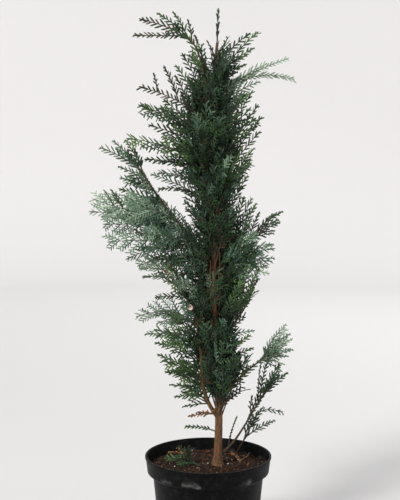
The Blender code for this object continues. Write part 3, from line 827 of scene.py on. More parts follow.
for name, bark, shows in (("stems_bark", stem_bark, True), ("boughs_bark", bough_bark, False)):
    meshes, nodes = [], []
    for number, bough in enumerate(BOUGHS):
        if (bough.name == STEM) == shows:
            line = lines[bough.name]
            count = len(line) - 1
            radii = [limb_radii[bough.name] * (1 - (1 - TIP_SHARE) * i / count) for i in range(count + 1)]
            meshes.append(limb_mesh(line, radii, BOUGH_SIDES, BOUGH_RELIEF, number + 1))
            nodes.append(bough.name)
    limbs = join_limbs(name, meshes, bark)
    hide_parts(*nodes)
    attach(limbs, "root")
    print(name, "faces:", len(limbs.data.polygons))

# %% [markdown]
# One side branch of the left stem was pruned to a stub, and its pale round cut faces the camera. It is a
# short limb of its own, made as the boughs were, and closed by a thin disc of bare wood.

# %% Pruned stub
STUB = Limb("pruned_stub", STEM, 0.715, 262, (10, 10), 13, 4.5)
STUB_SIDES = 14
STUB_RELIEF = 0.2 * MM
STUB_SEED = 30
CUT_SIDES = 18
CUT_DEPTH = 0.8 * MM
CUT_RIM = 0.86  # the disc's outer face, as a share of its inner one

stub_inner, stub_root = on_limb(STUB.parent, STUB.at, compass(STUB.bearing, STUB.rises[0]), 0)
stub_line = [stub_inner, *limb_line(STUB, stub_root, 2 * MM)]
stub_radius = STUB.radius * MM
stub_mesh = limb_mesh(stub_line, [stub_radius] * len(stub_line), STUB_SIDES, STUB_RELIEF, STUB_SEED)
stub = join_limbs(STUB.name, [stub_mesh], stem_bark)

cut_wood, cut_place, feed_cut = new_material("cut_wood", Roughness=0.8, Specular_IOR_Level=0.2)
cut_patches = cut_place.noise(300).step(0.3, 0.7)
feed_cut("Base Color", cut_patches.blend(linear(142, 118, 106), linear(206, 188, 180)))
disc = bmesh.new()
taper = {"radius1": stub_radius, "radius2": STUB.radius * CUT_RIM * MM}
bmesh.ops.create_cone(disc, cap_ends=True, segments=CUT_SIDES, depth=CUT_DEPTH, **taper)
bmesh.ops.transform(disc, matrix=frames(stub_line)[-1], verts=disc.verts[:])
cut = add_piece("pruned_cut", disc, cut_wood)
print("stub faces:", len(stub.data.polygons))

# %% [markdown]
# A third of the way up the crown, a few thin young stems climb close in front of the trunk. Their bark is
# still smooth and orange brown, and they make the plant look many-stemmed there. They are too thin to be
# solids, so they are drawn here alone.

# %% Young stems
YOUNG_STEMS = (
    Limb("young_left", "trunk", 236, 222, (60, 82, 88, 92), 50, 1.6),
    Limb("young_middle", "trunk", 246, 250, (56, 80, 88, 94), 58, 1.6),
    Limb("young_right", "trunk", 254, 305, (58, 82, 86, 92), 62, 1.4),
)
YOUNG_SIDES = 8
YOUNG_RELIEF = 0.12 * MM
YOUNG_SEED = 40
YOUNG_TAPER = 0.7  # the share of its radius that a young stem loses from root to tip

young_meshes = []
for number, stem in enumerate(YOUNG_STEMS):
    inner, root = on_limb(stem.parent, stem.at, compass(stem.bearing, stem.rises[0]), stem.radius * MM)
    line = [inner, *limb_line(stem, root)]
    radii = [stem.radius * MM * (1 - YOUNG_TAPER * i / (len(line) - 1)) for i in range(len(line))]
    young_meshes.append(limb_mesh(line, radii, YOUNG_SIDES, YOUNG_RELIEF, YOUNG_SEED + number))
young = join_limbs("young_stems", young_meshes, young_bark)
for piece in (stub, cut, young):
    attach(piece, "root")
print("young stems faces:", len(young.data.polygons))

# %% [markdown]
# Each mass of foliage is a flat spray. In the solids it is a twig with a few toothed blades. Here a table
# places the same twigs and a few small ones more, and finer shoots stand where the blades are. The last
# columns say how a spray differs in habit: the mix of its leaf colours, from bottle green to a waxy blue
# grey, and how far its shoots lean from their twig.

# %% The values of a spray
@dataclass
class Spray:
    """A mass of foliage: where its twig leaves a limb, where it points, and how wide it fans."""

    name: str
    limb: str
    at: float
    bearing: float
    rise: float
    reach: float
    upper: float  # the longest frond on its upper side
    lower: float  # and on its lower side
    turn: float  # degrees that its plane turns about the twig, from upright
    bow: float  # the twig's upward bulge, as a share of its reach
    tint: str
    fork: float = 37  # degrees between a shoot and its side shoots
    slope: float = 0.5  # how fast its fronds shorten towards its end


print("a spray's values:", list(Spray.__annotations__))

# %% Spray table
MAIN_SPRAYS = {  # the values of each Spray, in the order above
    "crown_top": (
        ("leader", "trunk", 628, 20, 88, 48, 11, 11, 20, 0.0, "dark", 20),
        ("top_left_spray", "top_left_bough", 1, 190, 0, 75, 11, 9, 20, 0.0, "bronze", 34),
        ("top_left_inner_spray", "trunk", 540, 148, 62, 72, 14, 16, 30, 0.06, "dark", 34),
        ("top_right_spray", "trunk", 562, 334, 46, 100, 12, 16, -20, 0.06, "dark", 30),
        ("top_right_low_spray", "trunk", 552, 14, 10, 126, 14, 14, 15, 0.12, "pale", 26),
    ),
    "left_upper": (
        ("upper_left_spray", "trunk", 512, 206, 24, 116, 13, 13, -22, 0.06, "bronze", 40),
        ("upper_left_low_spray", "trunk", 482, 154, 24, 118, 20, 34, 24, 0.1, "dark", 36),
        ("left_mid_spray", "trunk", 440, 204, 20, 134, 18, 24, 20, 0.08, "green", 34),
        ("left_mid_low_spray", "trunk", 415, 152, 13, 88, 18, 14, -25, 0.08, "dark", 34),
        ("left_arch_spray", "trunk", 392, 210, 14, 88, 9, 12, 25, 0.12, "dark", 28),
    ),
    "great_left": (
        ("great_left_top", "left_bough", 1, 186, 29, 68, 18, 14, -15, 0.05, "blue", 34),
        ("great_left_side", "left_bough", 0.84, 158, 17, 54, 16, 18, 25, 0.05, "blue", 34),
        ("great_left_upper", "left_bough", 0.6, 197, 15, 122, 44, 36, 18, -0.03, "pale"),
        ("great_left_lower", "left_bough", 0.5, 164, 3, 124, 36, 36, -25, 0.03, "blue"),
        ("great_left_under", "left_bough", 0.4, 205, 3, 128, 32, 34, 25, 0.03, "blue"),
        ("great_left_droop", "left_bough", 0.26, 158, -6, 96, 30, 22, -30, 0.1, "blue"),
    ),
    "left_low": (
        ("left_stem_spray", "left_stem", 1, 200, 6, 38, 12, 11, 20, 0.05, "pale", 34),
        ("left_dark_spray", "left_stem", 0.78, 156, -4, 48, 10, 12, -20, 0.06, "dark", 36),
        ("left_arched_twig", "left_stem", 0.84, 200, 14, 52, 2, 2, 0, 0.14, "bronze", 34),
        ("left_pale_spray", "left_stem", 0.6, 206, 10, 96, 40, 26, -25, 0.16, "pale", 34),
        ("left_green_spray", "left_stem", 0.44, 152, 18, 80, 30, 36, 28, 0.06, "fresh", 36),
        ("left_low_spray", "left_stem", 0.26, 212, 29, 74, 20, 30, -25, 0.06, "fresh", 34),
        ("left_foot_spray", "left_stem", 0.12, 152, 22, 54, 28, 30, 25, 0.06, "fresh", 36),
    ),
    "right_side": (
        ("right_upper_spray", "trunk", 470, 26, 55, 96, 20, 26, -25, 0.06, "dark", 32),
        ("right_side_spray", "trunk", 432, 336, 50, 104, 24, 26, 25, 0.06, "dark", 32),
        ("right_mid_spray", "trunk", 386, 24, 49, 88, 22, 24, -28, 0.06, "blue", 32),
        ("right_fan_spray", "right_wing_bough", 0.5, 30, 67, 80, 20, 20, 25, 0.06, "dark", 34),
        ("right_wing_spray", "right_wing_bough", 1, 352, 30, 38, 10, 10, -20, 0.06, "dark", 34),
        ("right_pale_spray", "right_wing_bough", 0.36, 336, 0, 66, 34, 32, 30, 0.0, "blue", 36),
        ("right_limb_spray", "right_limb", 1, 16, 66, 34, 9, 5, -25, 0.06, "dark", 32),
    ),
    "crown_foot": (
        ("right_low_spray", "trunk", 150, 334, 42, 66, 10, 12, 25, 0.06, "green", 34),
        ("right_bough_spray", "right_low_bough", 1, 16, 50, 56, 10, 24, -20, 0.0, "pale", 34),
        ("right_base_spray", "right_base_bough", 1, 344, 62, 56, 12, 18, 25, 0.06, "dark", 30),
        ("soil_shoot_spray", "soil_shoot", 1, 14, 26, 64, 8, 14, 15, 0.4, "blue", 34),
        ("left_sprig", "trunk", 50, 168, 4, 44, 8, 7, 0, 0.06, "green", 34),
        ("soil_sprig", "soil", 0, 200, 56, 38, 22, 22, 0, 0.0, "dark"),
        ("fallen_green", "soil", 0, 168, 10, 56, 17, 17, 62, 0.05, "green"),
        ("fallen_left", "soil", 0, 182, 6, 30, 6, 5, 70, 0.10, "dead"),
        ("fallen_back", "soil", 0, 138, 8, 26, 6, 4, 70, 0.08, "dead"),
        ("fallen_right", "soil", 0, 112, 8, 36, 5, 7, 70, 0.12, "dead"),
        ("fallen_bent", "soil", 0, 62, 10, 30, 4, 3, 60, 0.14, "dead"),
    ),
}
ZONES = {zone: tuple(Spray(*row) for row in rows) for zone, rows in MAIN_SPRAYS.items()}
SOIL_FEET = {  # where the sprays that stand or lie on the soil start, in mm from the pot's axis
    "soil_sprig": (-24, -2),
    "fallen_green": (-12, -8),
    "fallen_left": (-32, 52),
    "fallen_back": (-34, 60),
    "fallen_right": (48, 8),
    "fallen_bent": (50, 18),
}
print("main sprays:", sum(len(sprays) for sprays in ZONES.values()))

# %% [markdown]
# The outline of the crown is made of single long shoots, narrow as feathers, and they decide whether the
# plant is recognised. Wider ones fill it where it is dense. They have a table of their own, limb by limb:
# where on the limb, bearing, rise, reach, the length of the side shoots, and the colour mix.

# %% Table of long shoots
LONG_SHOOTS = {
    "crown_top": (
        ("top_left_bough", (
            (1, 188, 19, 70, 13, "bronze"), (0.96, 178, 59, 38, 10, "fresh"),
            (0.93, 186, 37, 52, 9, "green"), (0.87, 180, 78, 28, 8, "green"),
            (0.8, 200, 30, 34, 10, "green"),
        )),
        ("trunk", (
            (590, 345, 42, 68, 10, "dark"), (556, 230, 64, 44, 14, "dark"),
            (560, 170, 60, 40, 14, "dark"), (572, 300, 64, 40, 12, "dark"), (590, 250, 62, 28, 9, "dark"),
            (596, 330, 58, 28, 9, "dark"), (606, 200, 60, 22, 7, "dark"), (550, 10, 24, 56, 18, "green"),
            (565, 345, 32, 48, 16, "dark"), (575, 10, 36, 72, 10, "dark"), (580, 340, 28, 56, 14, "dark"),
            (575, 350, 22, 50, 12, "dark"), (560, 20, 32, 44, 18, "dark"), (548, 352, 26, 122, 8, "pale"),
            (530, 20, 28, 86, 18, "pale"), (519, 345, 28, 64, 16, "green"),
            (519, 165, 66, 92, 12, "dark"), (560, 300, 72, 50, 12, "dark"),
            (545, 250, 70, 66, 14, "green"), (546, 200, 74, 82, 4, "dark"),
            (540, 352, 34, 96, 12, "pale"),
        )),
    ),
    "left_upper": (
        ("trunk", (
            (504, 200, 60, 94, 12, "green"), (485, 196, 26, 112, 14, "dark"),
            (470, 210, 44, 100, 14, "dark"), (441, 200, 10, 98, 12, "dark"),
            (448, 196, 22, 84, 24, "dark"), (425, 192, 8, 66, 24, "blue"), (470, 200, 22, 96, 18, "dark"),
            (462, 215, 34, 74, 20, "green"), (455, 188, 30, 66, 20, "blue"),
        )),
        ("upper_left_spray", (
            (0.45, 200, 65, 52, 9, "bronze"), (0.76, 186, 78, 25, 8, "bronze"),
            (0.29, 170, 65, 48, 10, "bronze"),
        )),
        ("trunk", (
            (392, 194, 26, 98, 11, "blue"), (436, 195, 20, 62, 24, "blue"),
            (420, 206, 30, 58, 24, "dark"), (402, 186, 32, 50, 22, "blue"),
        )),
    ),
    "great_left": (
        ("left_bough", (
            (0.98, 172, 46, 60, 10, "blue"), (0.95, 196, 60, 50, 10, "blue"),
            (0.99, 215, 66, 36, 10, "green"), (0.92, 184, 44, 50, 10, "blue"),
            (0.9, 200, 27, 46, 10, "blue"), (0.83, 166, 21, 42, 10, "dark"),
            (0.69, 200, 22, 72, 12, "green"), (0.6, 176, 16, 96, 22, "green"),
            (0.53, 190, 10, 132, 18, "pale"), (0.43, 200, -15, 98, 14, "blue"),
            (0.31, 160, -9, 76, 16, "blue"), (0.3, 190, 35, 62, 22, "blue"),
            (0.2, 205, 44, 72, 24, "blue"), (0.12, 190, 60, 84, 26, "blue"),
            (0.06, 215, 45, 74, 24, "blue"), (0.4, 230, 30, 60, 26, "pale"),
            (0.55, 225, 24, 60, 26, "pale"), (0.68, 215, 34, 56, 14, "blue"),
        )),
        ("great_left_upper", (
            (0.74, 190, 58, 24, 5, "pale"), (0.62, 188, 57, 30, 6, "blue"),
        )),
        ("left_bough", (
            (0.43, 150, 65, 28, 9, "pale"), (0.27, 215, -42, 48, 20, "blue"),
            (0.16, 225, -30, 52, 22, "dark"), (0.1, 20, 70, 50, 24, "dark"),
            (0.2, 30, 75, 48, 20, "green"), (0.33, 40, 82, 34, 14, "dark"),
            (0.3, 200, -11, 36, 16, "blue"), (0.23, 205, -19, 38, 16, "blue"),
        )),
        ("trunk", (
            (251, 200, 34, 50, 20, "blue"), (273, 190, 40, 54, 20, "dark"),
            (298, 205, 48, 56, 18, "dark"), (229, 220, 38, 106, 15, "pale"),
        )),
    ),
    "left_low": (
        ("left_stem", (
            (0.93, 200, 5, 40, 12, "pale"), (0.95, 170, 34, 36, 10, "pale"),
            (0.74, 110, 47, 76, 16, "blue"), (0.66, 230, 50, 70, 18, "blue"),
            (0.86, 200, 62, 60, 20, "blue"), (0.8, 60, 68, 64, 22, "blue"), (0.6, 60, 60, 70, 24, "dark"),
            (0.52, 196, 7, 80, 12, "blue"), (0.39, 200, 23, 74, 16, "fresh"),
            (0.45, 190, 30, 34, 24, "green"), (0.3, 180, 10, 36, 24, "green"),
            (0.14, 20, 60, 36, 20, "green"), (0.2, 170, 50, 34, 22, "fresh"),
            (0.34, 160, 40, 40, 24, "dark"), (0.84, 250, 46, 38, 20, "dark"),
            (0.72, 215, 56, 40, 22, "dark"), (0.7, 20, 60, 48, 24, "dark"), (0.9, 30, 40, 40, 22, "dark"),
            (0.28, 196, 30, 74, 14, "fresh"), (0.24, 206, 22, 62, 14, "fresh"),
            (0.19, 192, 15, 50, 14, "fresh"), (0.16, 206, 6, 48, 12, "fresh"),
            (0.12, 196, -5, 36, 12, "green"), (0.15, 190, 16, 34, 16, "dark"),
            (0.23, 170, 18, 32, 16, "green"), (0.33, 190, 25, 30, 16, "dark"),
            (0.21, 160, 7, 26, 14, "dark"), (0.04, 190, -4, 36, 6, "dead"),
        )),
    ),
    "right_side": (
        ("trunk", (
            (419, 350, 66, 140, 10, "dark"), (414, 20, 59, 136, 10, "dark"),
            (455, 350, 52, 92, 20, "dark"), (440, 10, 45, 68, 24, "dark"), (390, 0, 50, 70, 24, "blue"),
            (360, 345, 52, 66, 24, "dark"), (406, 340, 56, 128, 10, "dark"),
            (400, 8, 54, 114, 12, "dark"), (378, 335, 56, 108, 12, "green"),
            (357, 16, 60, 106, 12, "green"), (332, 340, 63, 102, 12, "dark"),
        )),
        ("right_wing_bough", (
            (0.31, 40, 72, 94, 12, "dark"), (0.55, 8, 80, 76, 9, "dark"), (0.69, 340, 69, 60, 9, "dark"),
            (0.8, 350, 37, 50, 9, "dark"), (0.65, 12, 28, 60, 9, "dark"), (0.8, 20, 10, 40, 16, "blue"),
            (0.95, 340, 10, 28, 14, "dark"), (0.98, 355, 44, 40, 8, "dark"),
            (0.87, 350, 68, 36, 8, "dark"), (0.26, 340, 21, 74, 16, "blue"),
            (0.22, 12, 6, 76, 16, "blue"), (0.3, 0, 14, 70, 22, "blue"), (0.16, 350, 2, 68, 22, "blue"),
            (0.5, 345, 12, 56, 20, "blue"), (0.05, 350, -6, 62, 22, "blue"),
            (0.13, 346, -3, 72, 16, "pale"),
        )),
        ("trunk", (
            (183, 340, 66, 92, 10, "green"), (205, 355, 64, 76, 12, "dark"),
            (225, 20, 50, 70, 18, "blue"), (262, 10, 36, 60, 22, "green"),
            (275, 340, 24, 58, 22, "green"), (267, 350, 34, 54, 18, "dark"),
            (251, 345, 39, 54, 18, "dark"),
        )),
        ("right_limb", (
            (0.46, 10, 78, 84, 16, "green"), (0.55, 350, 74, 72, 15, "green"),
            (0.69, 345, 68, 50, 14, "dark"), (0.85, 340, 68, 54, 10, "green"),
        )),
        ("trunk", (
            (175, 20, 67, 78, 12, "dark"),
        )),
    ),
    "crown_foot": (
        ("trunk", (
            (190, 350, 14, 54, 13, "blue"), (172, 340, 22, 42, 8, "dark"), (147, 350, 30, 56, 9, "dark"),
            (126, 25, 64, 60, 12, "dark"), (118, 335, 64, 58, 12, "dark"), (108, 20, 62, 46, 16, "dark"),
            (98, 340, 60, 44, 14, "dark"), (88, 20, 60, 38, 12, "dark"), (100, 280, 55, 60, 24, "dark"),
            (84, 250, 60, 56, 22, "green"), (84, 170, 66, 44, 18, "dark"), (78, 110, 60, 44, 20, "dark"),
            (74, 300, 58, 50, 20, "dark"), (90, 240, -20, 16, 6, "dead"), (76, 205, 12, 30, 8, "dead"),
        )),
        ("right_low_bough", (
            (0.96, 350, 56, 62, 9, "pale"), (0.9, 10, 39, 55, 12, "blue"),
            (0.87, 345, 22, 50, 10, "blue"), (0.97, 10, 4, 38, 14, "pale"), (1, 340, -12, 34, 14, "pale"),
            (1, 10, 18, 44, 22, "pale"), (0.97, 350, -30, 32, 18, "blue"), (1, 345, 36, 54, 12, "pale"),
        )),
        ("right_base_bough", (
            (0.97, 8, 58, 48, 10, "blue"), (0.93, 350, 78, 60, 8, "dark"), (0.88, 30, 85, 56, 6, "dark"),
            (0.94, 352, 45, 52, 9, "dark"), (0.85, 10, 50, 40, 10, "green"), (0.6, 0, 60, 40, 8, "dark"),
            (0.7, 330, 84, 26, 8, "dark"), (0.18, 340, 73, 46, 3, "dark"),
        )),
        ("soil_shoot", (
            (0.84, 350, 60, 50, 12, "blue"), (0.89, 356, 30, 46, 9, "blue"),
            (0.71, 20, 66, 36, 12, "blue"),
        )),
    ),
}
print("long shoots:", sum(len(shoots) for groups in LONG_SHOOTS.values() for _, shoots in groups))

# %% Long shoots and under layers
LONG_BLADE = 1.25  # its longest fronds, as a share of the table's side shoots
LONG_TURN = 20
LONG_HABIT = {"bow": 0.04, "fork": 36, "slope": 0.32}
FULL_FROM = 32  # mm of fronds on both sides together
LAYERS = ((1, 0.72), (-1, 0.6))  # the side that a layer lies to, and its share of the spray's reach
LAYER_SWING = 16
LAYER_LIFT = 9
LAYER_TURN = 40
LAYER_BLADE = 0.8


def long_shoot(zone, number, limb, at, bearing, rise, reach, side, tint):
    """A row of the table as a narrow spray. Its plane turns a little to the left or to the right."""
    turn = LONG_TURN if number % 2 else -LONG_TURN
    blade = side * LONG_BLADE
    name = f"{zone}_shoot_{number}"
    return Spray(name, limb, at, bearing, rise, reach, blade, blade, turn, tint=tint, **LONG_HABIT)


def under_layers(spray):
    """Two shorter sprays beside a wide one, turned other ways, so that its inside is full."""
    if spray.upper + spray.lower <= FULL_FROM or spray.limb == "soil":
        return []
    return [
        replace(
            spray,
            name=f"{spray.name}_layer_{side}",
            bearing=spray.bearing + side * LAYER_SWING,
            rise=spray.rise + side * LAYER_LIFT,
            reach=spray.reach * share,
            upper=spray.upper * LAYER_BLADE,
            lower=spray.lower * LAYER_BLADE,
            turn=side * LAYER_TURN - spray.turn,
        )
        for side, share in LAYERS
    ]


for zone, groups in LONG_SHOOTS.items():
    layers = [layer for spray in ZONES[zone] for layer in under_layers(spray)]
    rows = [(limb, *row) for limb, shoots in groups for row in shoots]
    ZONES[zone] += (*layers, *(long_shoot(zone, number, *row) for number, row in enumerate(rows)))
print("with long shoots and layers:", sum(len(sprays) for sprays in ZONES.values()))

# %% [markdown]
# Before and behind the trunk the sprays stand so close that the eye can't tell them apart, so a rule places
# them: each turns by the golden angle from the last, and none lies right above another. Three kinds make up
# the column: the wide sprays of the solids, short steep ones close to the trunk that fill its dark middle,
# and feathers that lean out of its front and back. The last two are shorter where the crown has a waist.
# Sines with odd steps vary their rise and turn, which looks as free as chance and stays the same each time.

# %% Rules of the column
GOLDEN = 137.5
COLUMN_COUNT = 13
COLUMN_HEIGHTS = (82, 590)
COLUMN_REACH = (104, 68)
COLUMN_BLADE = (58, 30)
COLUMN_SWING = 46  # degrees to either side of straight forward or straight back
COLUMN_RISE = (54, 12)  # its middle, and how far it swings up and down from there
COLUMN_TURNS = (70, 20, -30)
STEM_TOP = 270  # below it the front sprays stand on the left stem
INNER_COUNT = 190
INNER_HEIGHTS = (62, 530)
INNER_REACH = (92, 78)
INNER_BLADE = 24
INNER_RISE = (67, 7)
INNER_TURN = 90
OUTER_COUNT = 44
OUTER_HEIGHTS = (84, 556)
OUTER_REACH = (104, 78)
OUTER_BLADE = 22
OUTER_SWING = 52
OUTER_RISE = (46, 14)
OUTER_TURN = 80
OUTER_TINTS = ("dark", "blue", "dark", "green", "dark", "blue", "green")
OUTSTANDING = 1.16  # every fifth feather is this much longer
BARE_LOW, BARE_HIGH = 150, 325  # between these heights the trunk shows from the front
IN_FRONT = -0.7  # the sine of a bearing that hides it
SIDEWAYS = 0.5  # the cosine of a bearing that points to a side
WAISTS = (  # from and to this height, on the right (1) or the left (-1)
    (70, 185, 1),
    (300, 380, 1),
    (280, 352, -1),
    (505, 600, -1),
)
WAIST_SHARE = 0.66


def between(ends, share):
    """The value at this share of the way from the first end to the second."""
    return ends[0] + (ends[1] - ends[0]) * share


def drawn_in(height, bearing):
    """How much shorter a spray is where the outline of the crown draws in."""
    for low, high, side in WAISTS:
        if low < height < high and side * math.cos(math.radians(bearing)) > SIDEWAYS:
            return WAIST_SHARE
    return 1


def hides_trunk(spray, low):
    """True for a spray in front of the part of the trunk that shows bare, from this height up."""
    in_front = math.sin(math.radians(spray.bearing)) < IN_FRONT
    return in_front and low < spray.at < BARE_HIGH


print("a spray's share of its reach in a waist:", drawn_in(100, 0), "and elsewhere:", drawn_in(200, 0))

# %% Sprays of the column
def column_spray(i):
    """The i-th wide spray: odd ones stand in front, even ones behind."""
    share = i / (COLUMN_COUNT - 1)
    front = i % 2
    swing = math.radians(GOLDEN * i)
    height = between(COLUMN_HEIGHTS, share)
    limb, at = "trunk", height
    if front and height < STEM_TOP:
        limb, at = STEM, (height - BOUGHS[0].at) / BOUGHS[0].length
    name = f"{'front' if front else 'back'}_spray_{i // 2 + 1}"
    bearing = (270 if front else 90) + COLUMN_SWING * math.sin(swing)
    rise = COLUMN_RISE[0] + COLUMN_RISE[1] * math.cos(swing)
    reach, blade = between(COLUMN_REACH, share), between(COLUMN_BLADE, share)
    turn = COLUMN_TURNS[i % 3]
    return Spray(name, limb, at, bearing, rise, reach, blade, blade, turn, 0.03, "column", 32)


def trunk_spray(name, height, bearing, rise, reach, blade, turn, *habit):
    """A spray on the trunk, shorter in a waist, with fronds as long on one side as on the other."""
    reach = reach * drawn_in(height, bearing)
    return Spray(name, "trunk", height, bearing, rise, reach, blade, blade, turn, *habit)


def inner_spray(i):
    """A steep dark spray close to the trunk."""
    share = i / (INNER_COUNT - 1)
    rise = INNER_RISE[0] + INNER_RISE[1] * math.sin(1.7 * i)
    turn = INNER_TURN * math.sin(2.3 * i)
    height, reach = between(INNER_HEIGHTS, share), between(INNER_REACH, share)
    return trunk_spray(f"inner_{i}", height, GOLDEN * i, rise, reach, INNER_BLADE, turn, 0.02, "inner", 32)


def outer_spray(i):
    """A feather that leans out of the front of the column, or out of its back for an even number."""
    share = i / (OUTER_COUNT - 1)
    bearing = (270 if i % 2 else 90) + OUTER_SWING * math.sin(math.radians(GOLDEN * i))
    rise = OUTER_RISE[0] + OUTER_RISE[1] * math.cos(2.1 * i)
    turn = OUTER_TURN * math.sin(1.3 * i)
    height = between(OUTER_HEIGHTS, share)
    reach = between(OUTER_REACH, share) * (OUTSTANDING if i % 5 == 2 else 1)
    tint = OUTER_TINTS[i % len(OUTER_TINTS)]
    return trunk_spray(f"outer_{i}", height, bearing, rise, reach, OUTER_BLADE, turn, 0.05, tint, 34, 0.4)


column = [column_spray(i) for i in range(COLUMN_COUNT)]
inner = [spray for spray in map(inner_spray, range(INNER_COUNT)) if not hides_trunk(spray, BARE_LOW)]
column += [spray for spray in map(outer_spray, range(OUTER_COUNT)) if not hides_trunk(spray, 0)]
for zone, side in (("column_front", -1), ("column_back", 1)):
    ZONES[zone] = tuple(spray for spray in column if side * math.sin(math.radians(spray.bearing)) > 0)
ZONES["column_low"] = tuple(inner[: len(inner) // 2])
ZONES["column_high"] = tuple(inner[len(inner) // 2 :])
print("all sprays:", sum(len(sprays) for sprays in ZONES.values()))

# %% [markdown]
# A colour that has a place on the plant is dealt out by frond: each spray has a row of shades from its
# inside to its tips, and every frond takes the one for how far out it stands, give or take one. The waxy
# bloom of the blue sprays is only a paler, rougher shade. These are plain materials with no pattern.

# %% Leaf shades
SHADES = {  # linear red, green and blue, roughness, how broad its tips are, and the shade of its lit tips
    # bottle and deep are the dark green of the inner foliage, darkened further as painted shade for the
    # crown's shadowed inside
    "bottle": ((0.009, 0.021, 0.009), 0.62, 1.0, "deep"),
    "deep": ((0.022, 0.046, 0.021), 0.62, 1.0, "green"),
    "green": ((0.045, 0.086, 0.030), 0.60, 0.95, "fresh"),
    "fresh": ((0.074, 0.130, 0.040), 0.58, 0.9, "lime"),
    "lime": ((0.130, 0.205, 0.064), 0.58, 0.9, "lime"),
    "teal": ((0.048, 0.087, 0.056), 0.66, 0.84, "sea"),
    "sea": ((0.110, 0.170, 0.112), 0.68, 0.8, "bloom"),
    "bloom": ((0.168, 0.236, 0.164), 0.72, 0.78, "frost"),
    "frost": ((0.262, 0.338, 0.246), 0.74, 0.78, "frost"),
    "bronze": ((0.064, 0.058, 0.033), 0.66, 1.0, "green"),
    "rust": ((0.048, 0.033, 0.019), 0.80, 1.0, "bottle"),
    "dead": ((0.330, 0.160, 0.070), 0.80, 0.9, "dead"),
}
SHADE_ROWS = {name: row for row, name in enumerate(SHADES)}
LIGHTER = np.array([SHADE_ROWS[lit] for _, _, _, lit in SHADES.values()])
BROAD = np.array([broad for _, _, broad, _ in SHADES.values()])
LIT_SHARE = 0.22  # of a frond's shoots, this share take the lit shade
MIX_SPREAD = 0.8  # of a row of shades, how far a frond's may lie from its place
TINTS = {  # from the inside of a spray to its tips
    # the inner and column mixes keep to those darkest shades: partly the foliage's own colour, partly painted
    # shade in the middle of the crown
    "inner": ("rust", "bottle", "deep", "bottle", "deep", "teal"),
    "column": ("bottle", "bottle", "deep", "deep", "teal"),
    "dark": ("bottle", "bottle", "deep", "deep", "green"),
    "green": ("bottle", "deep", "green", "deep", "green", "fresh"),
    "fresh": ("deep", "green", "green", "fresh", "green"),
    "blue": ("deep", "teal", "deep", "teal", "sea", "sea"),
    "pale": ("teal", "teal", "sea", "sea", "bloom", "sea", "bloom", "frost"),
    "bronze": ("bottle", "deep", "bronze", "deep", "bronze"),
    "dead": ("dead", "rust", "dead"),
}


def shades_along(tint, share, rng):
    """The row of the shade for each frond at these shares of its twig."""
    rows = np.array([SHADE_ROWS[name] for name in TINTS[tint]])
    place = np.clip(share, 0, 0.999) * len(rows) + rng.normal(0, MIX_SPREAD, len(share))
    return rows[np.clip(place, 0, len(rows) - 1).astype(int)]


def plain_materials(prefix, table, gloss):
    """A plain material for each row of a table that gives a colour and a roughness first."""
    made = []
    for name, (colour, rough, *_) in table.items():
        constants = {"Roughness": rough, "Base_Color": opaque(colour), "Specular_IOR_Level": gloss}
        made.append(new_material(prefix + name, **constants)[0])
    return made


leaf_materials = plain_materials("leaf_", SHADES, 0.2)
print("leaf shades:", len(leaf_materials))

# %% [markdown]
# Cypress foliage repeats itself: a twig carries fronds, a frond carries branchlets, a branchlet carries
# blunt scaly tips, always alternately left and right, leaning forward, and shorter towards the end. So one
# function forks many shoots at once, and is called again on its own shoots until they are single tips.
# Arrays are the right tool, because there are tens of thousands of tips.

# %% The values of a shoot
@dataclass
class Shoots:
    """Many straight shoots at once, one row each, in metres."""

    root: np.ndarray
    way: np.ndarray  # the direction that each points
    face: np.ndarray  # the normal of its flat face
    length: np.ndarray
    shade: np.ndarray  # the row of its colour
    fork: np.ndarray  # the angle between it and its side shoots

    def where(self, mask):
        """Only the shoots for which the mask is true."""
        return Shoots(*[values[mask] for values in vars(self).values()])


def joined(parts):
    """Several groups of shoots as one."""
    return Shoots(*[np.concatenate(values) for values in zip(*[vars(part).values() for part in parts])])


print("a shoot's values:", list(Shoots.__annotations__))

# %% Turning many vectors at once
def unit(vectors):
    """Each vector at length 1."""
    return vectors / np.linalg.norm(vectors, axis=-1, keepdims=True)


def square_to(vectors, axes):
    """Each vector with what lies along its unit axis taken out, at length 1."""
    return unit(vectors - axes * np.sum(vectors * axes, axis=1, keepdims=True))


def turned_by(vectors, axes, angles):
    """Each vector turned about its own unit axis by its own angle."""
    c, s = np.cos(angles)[:, None], np.sin(angles)[:, None]
    inline = np.sum(vectors * axes, axis=1, keepdims=True)
    return vectors * c + np.cross(axes, vectors) * s + axes * inline * (1 - c)


x_axis, z_axis = np.array([[1.0, 0, 0]]), np.array([[0, 0, 1.0]])
print("X turned a quarter about Z:", turned_by(x_axis, z_axis, np.array([math.pi / 2])).round(3))

# %% Side shoots
FORK_SPREAD = math.radians(2.5)
BANK_SPREAD = math.radians(6)
LIFT_SPREAD = math.radians(3)
CURL = 0.06
SHARE = 0.31  # a side shoot's length at the root, as a share of its parent's
PAST = 1.15  # side shoots would shrink to nothing this far along their parent
PITCH = 2.1 * MM  # between one side shoot and the next, which stands on the other side
PITCH_SHARE = 0.05  # long shoots carry theirs further apart, by this share of their length
PLACE_SPREAD = (0.45, 0.75)
LENGTH_SPREAD = (0.85, 1.1)
LEAST_TIP = 6 * MM
FORKS_FROM = 14.5 * MM  # a shorter shoot is a single straight tip
TIP_LEAN = 1.28  # tips lean out more than longer shoots do, by this factor


def side_shoots(root, onward, normal, side, bank, length, shade, angle, rng):
    """Shoots that leave their parents sideways and forward, each banked out of its parent's plane."""
    count = len(side)
    normal = square_to(normal, onward)
    way = turned_by(onward, normal, side * (angle + rng.normal(0, FORK_SPREAD, count)))
    way = turned_by(way, unit(np.cross(normal, way)), rng.normal(0, LIFT_SPREAD, count))
    face = turned_by(square_to(normal, way), way, bank + rng.normal(0, BANK_SPREAD, count))
    return Shoots(root, way, face, length, shade, angle)


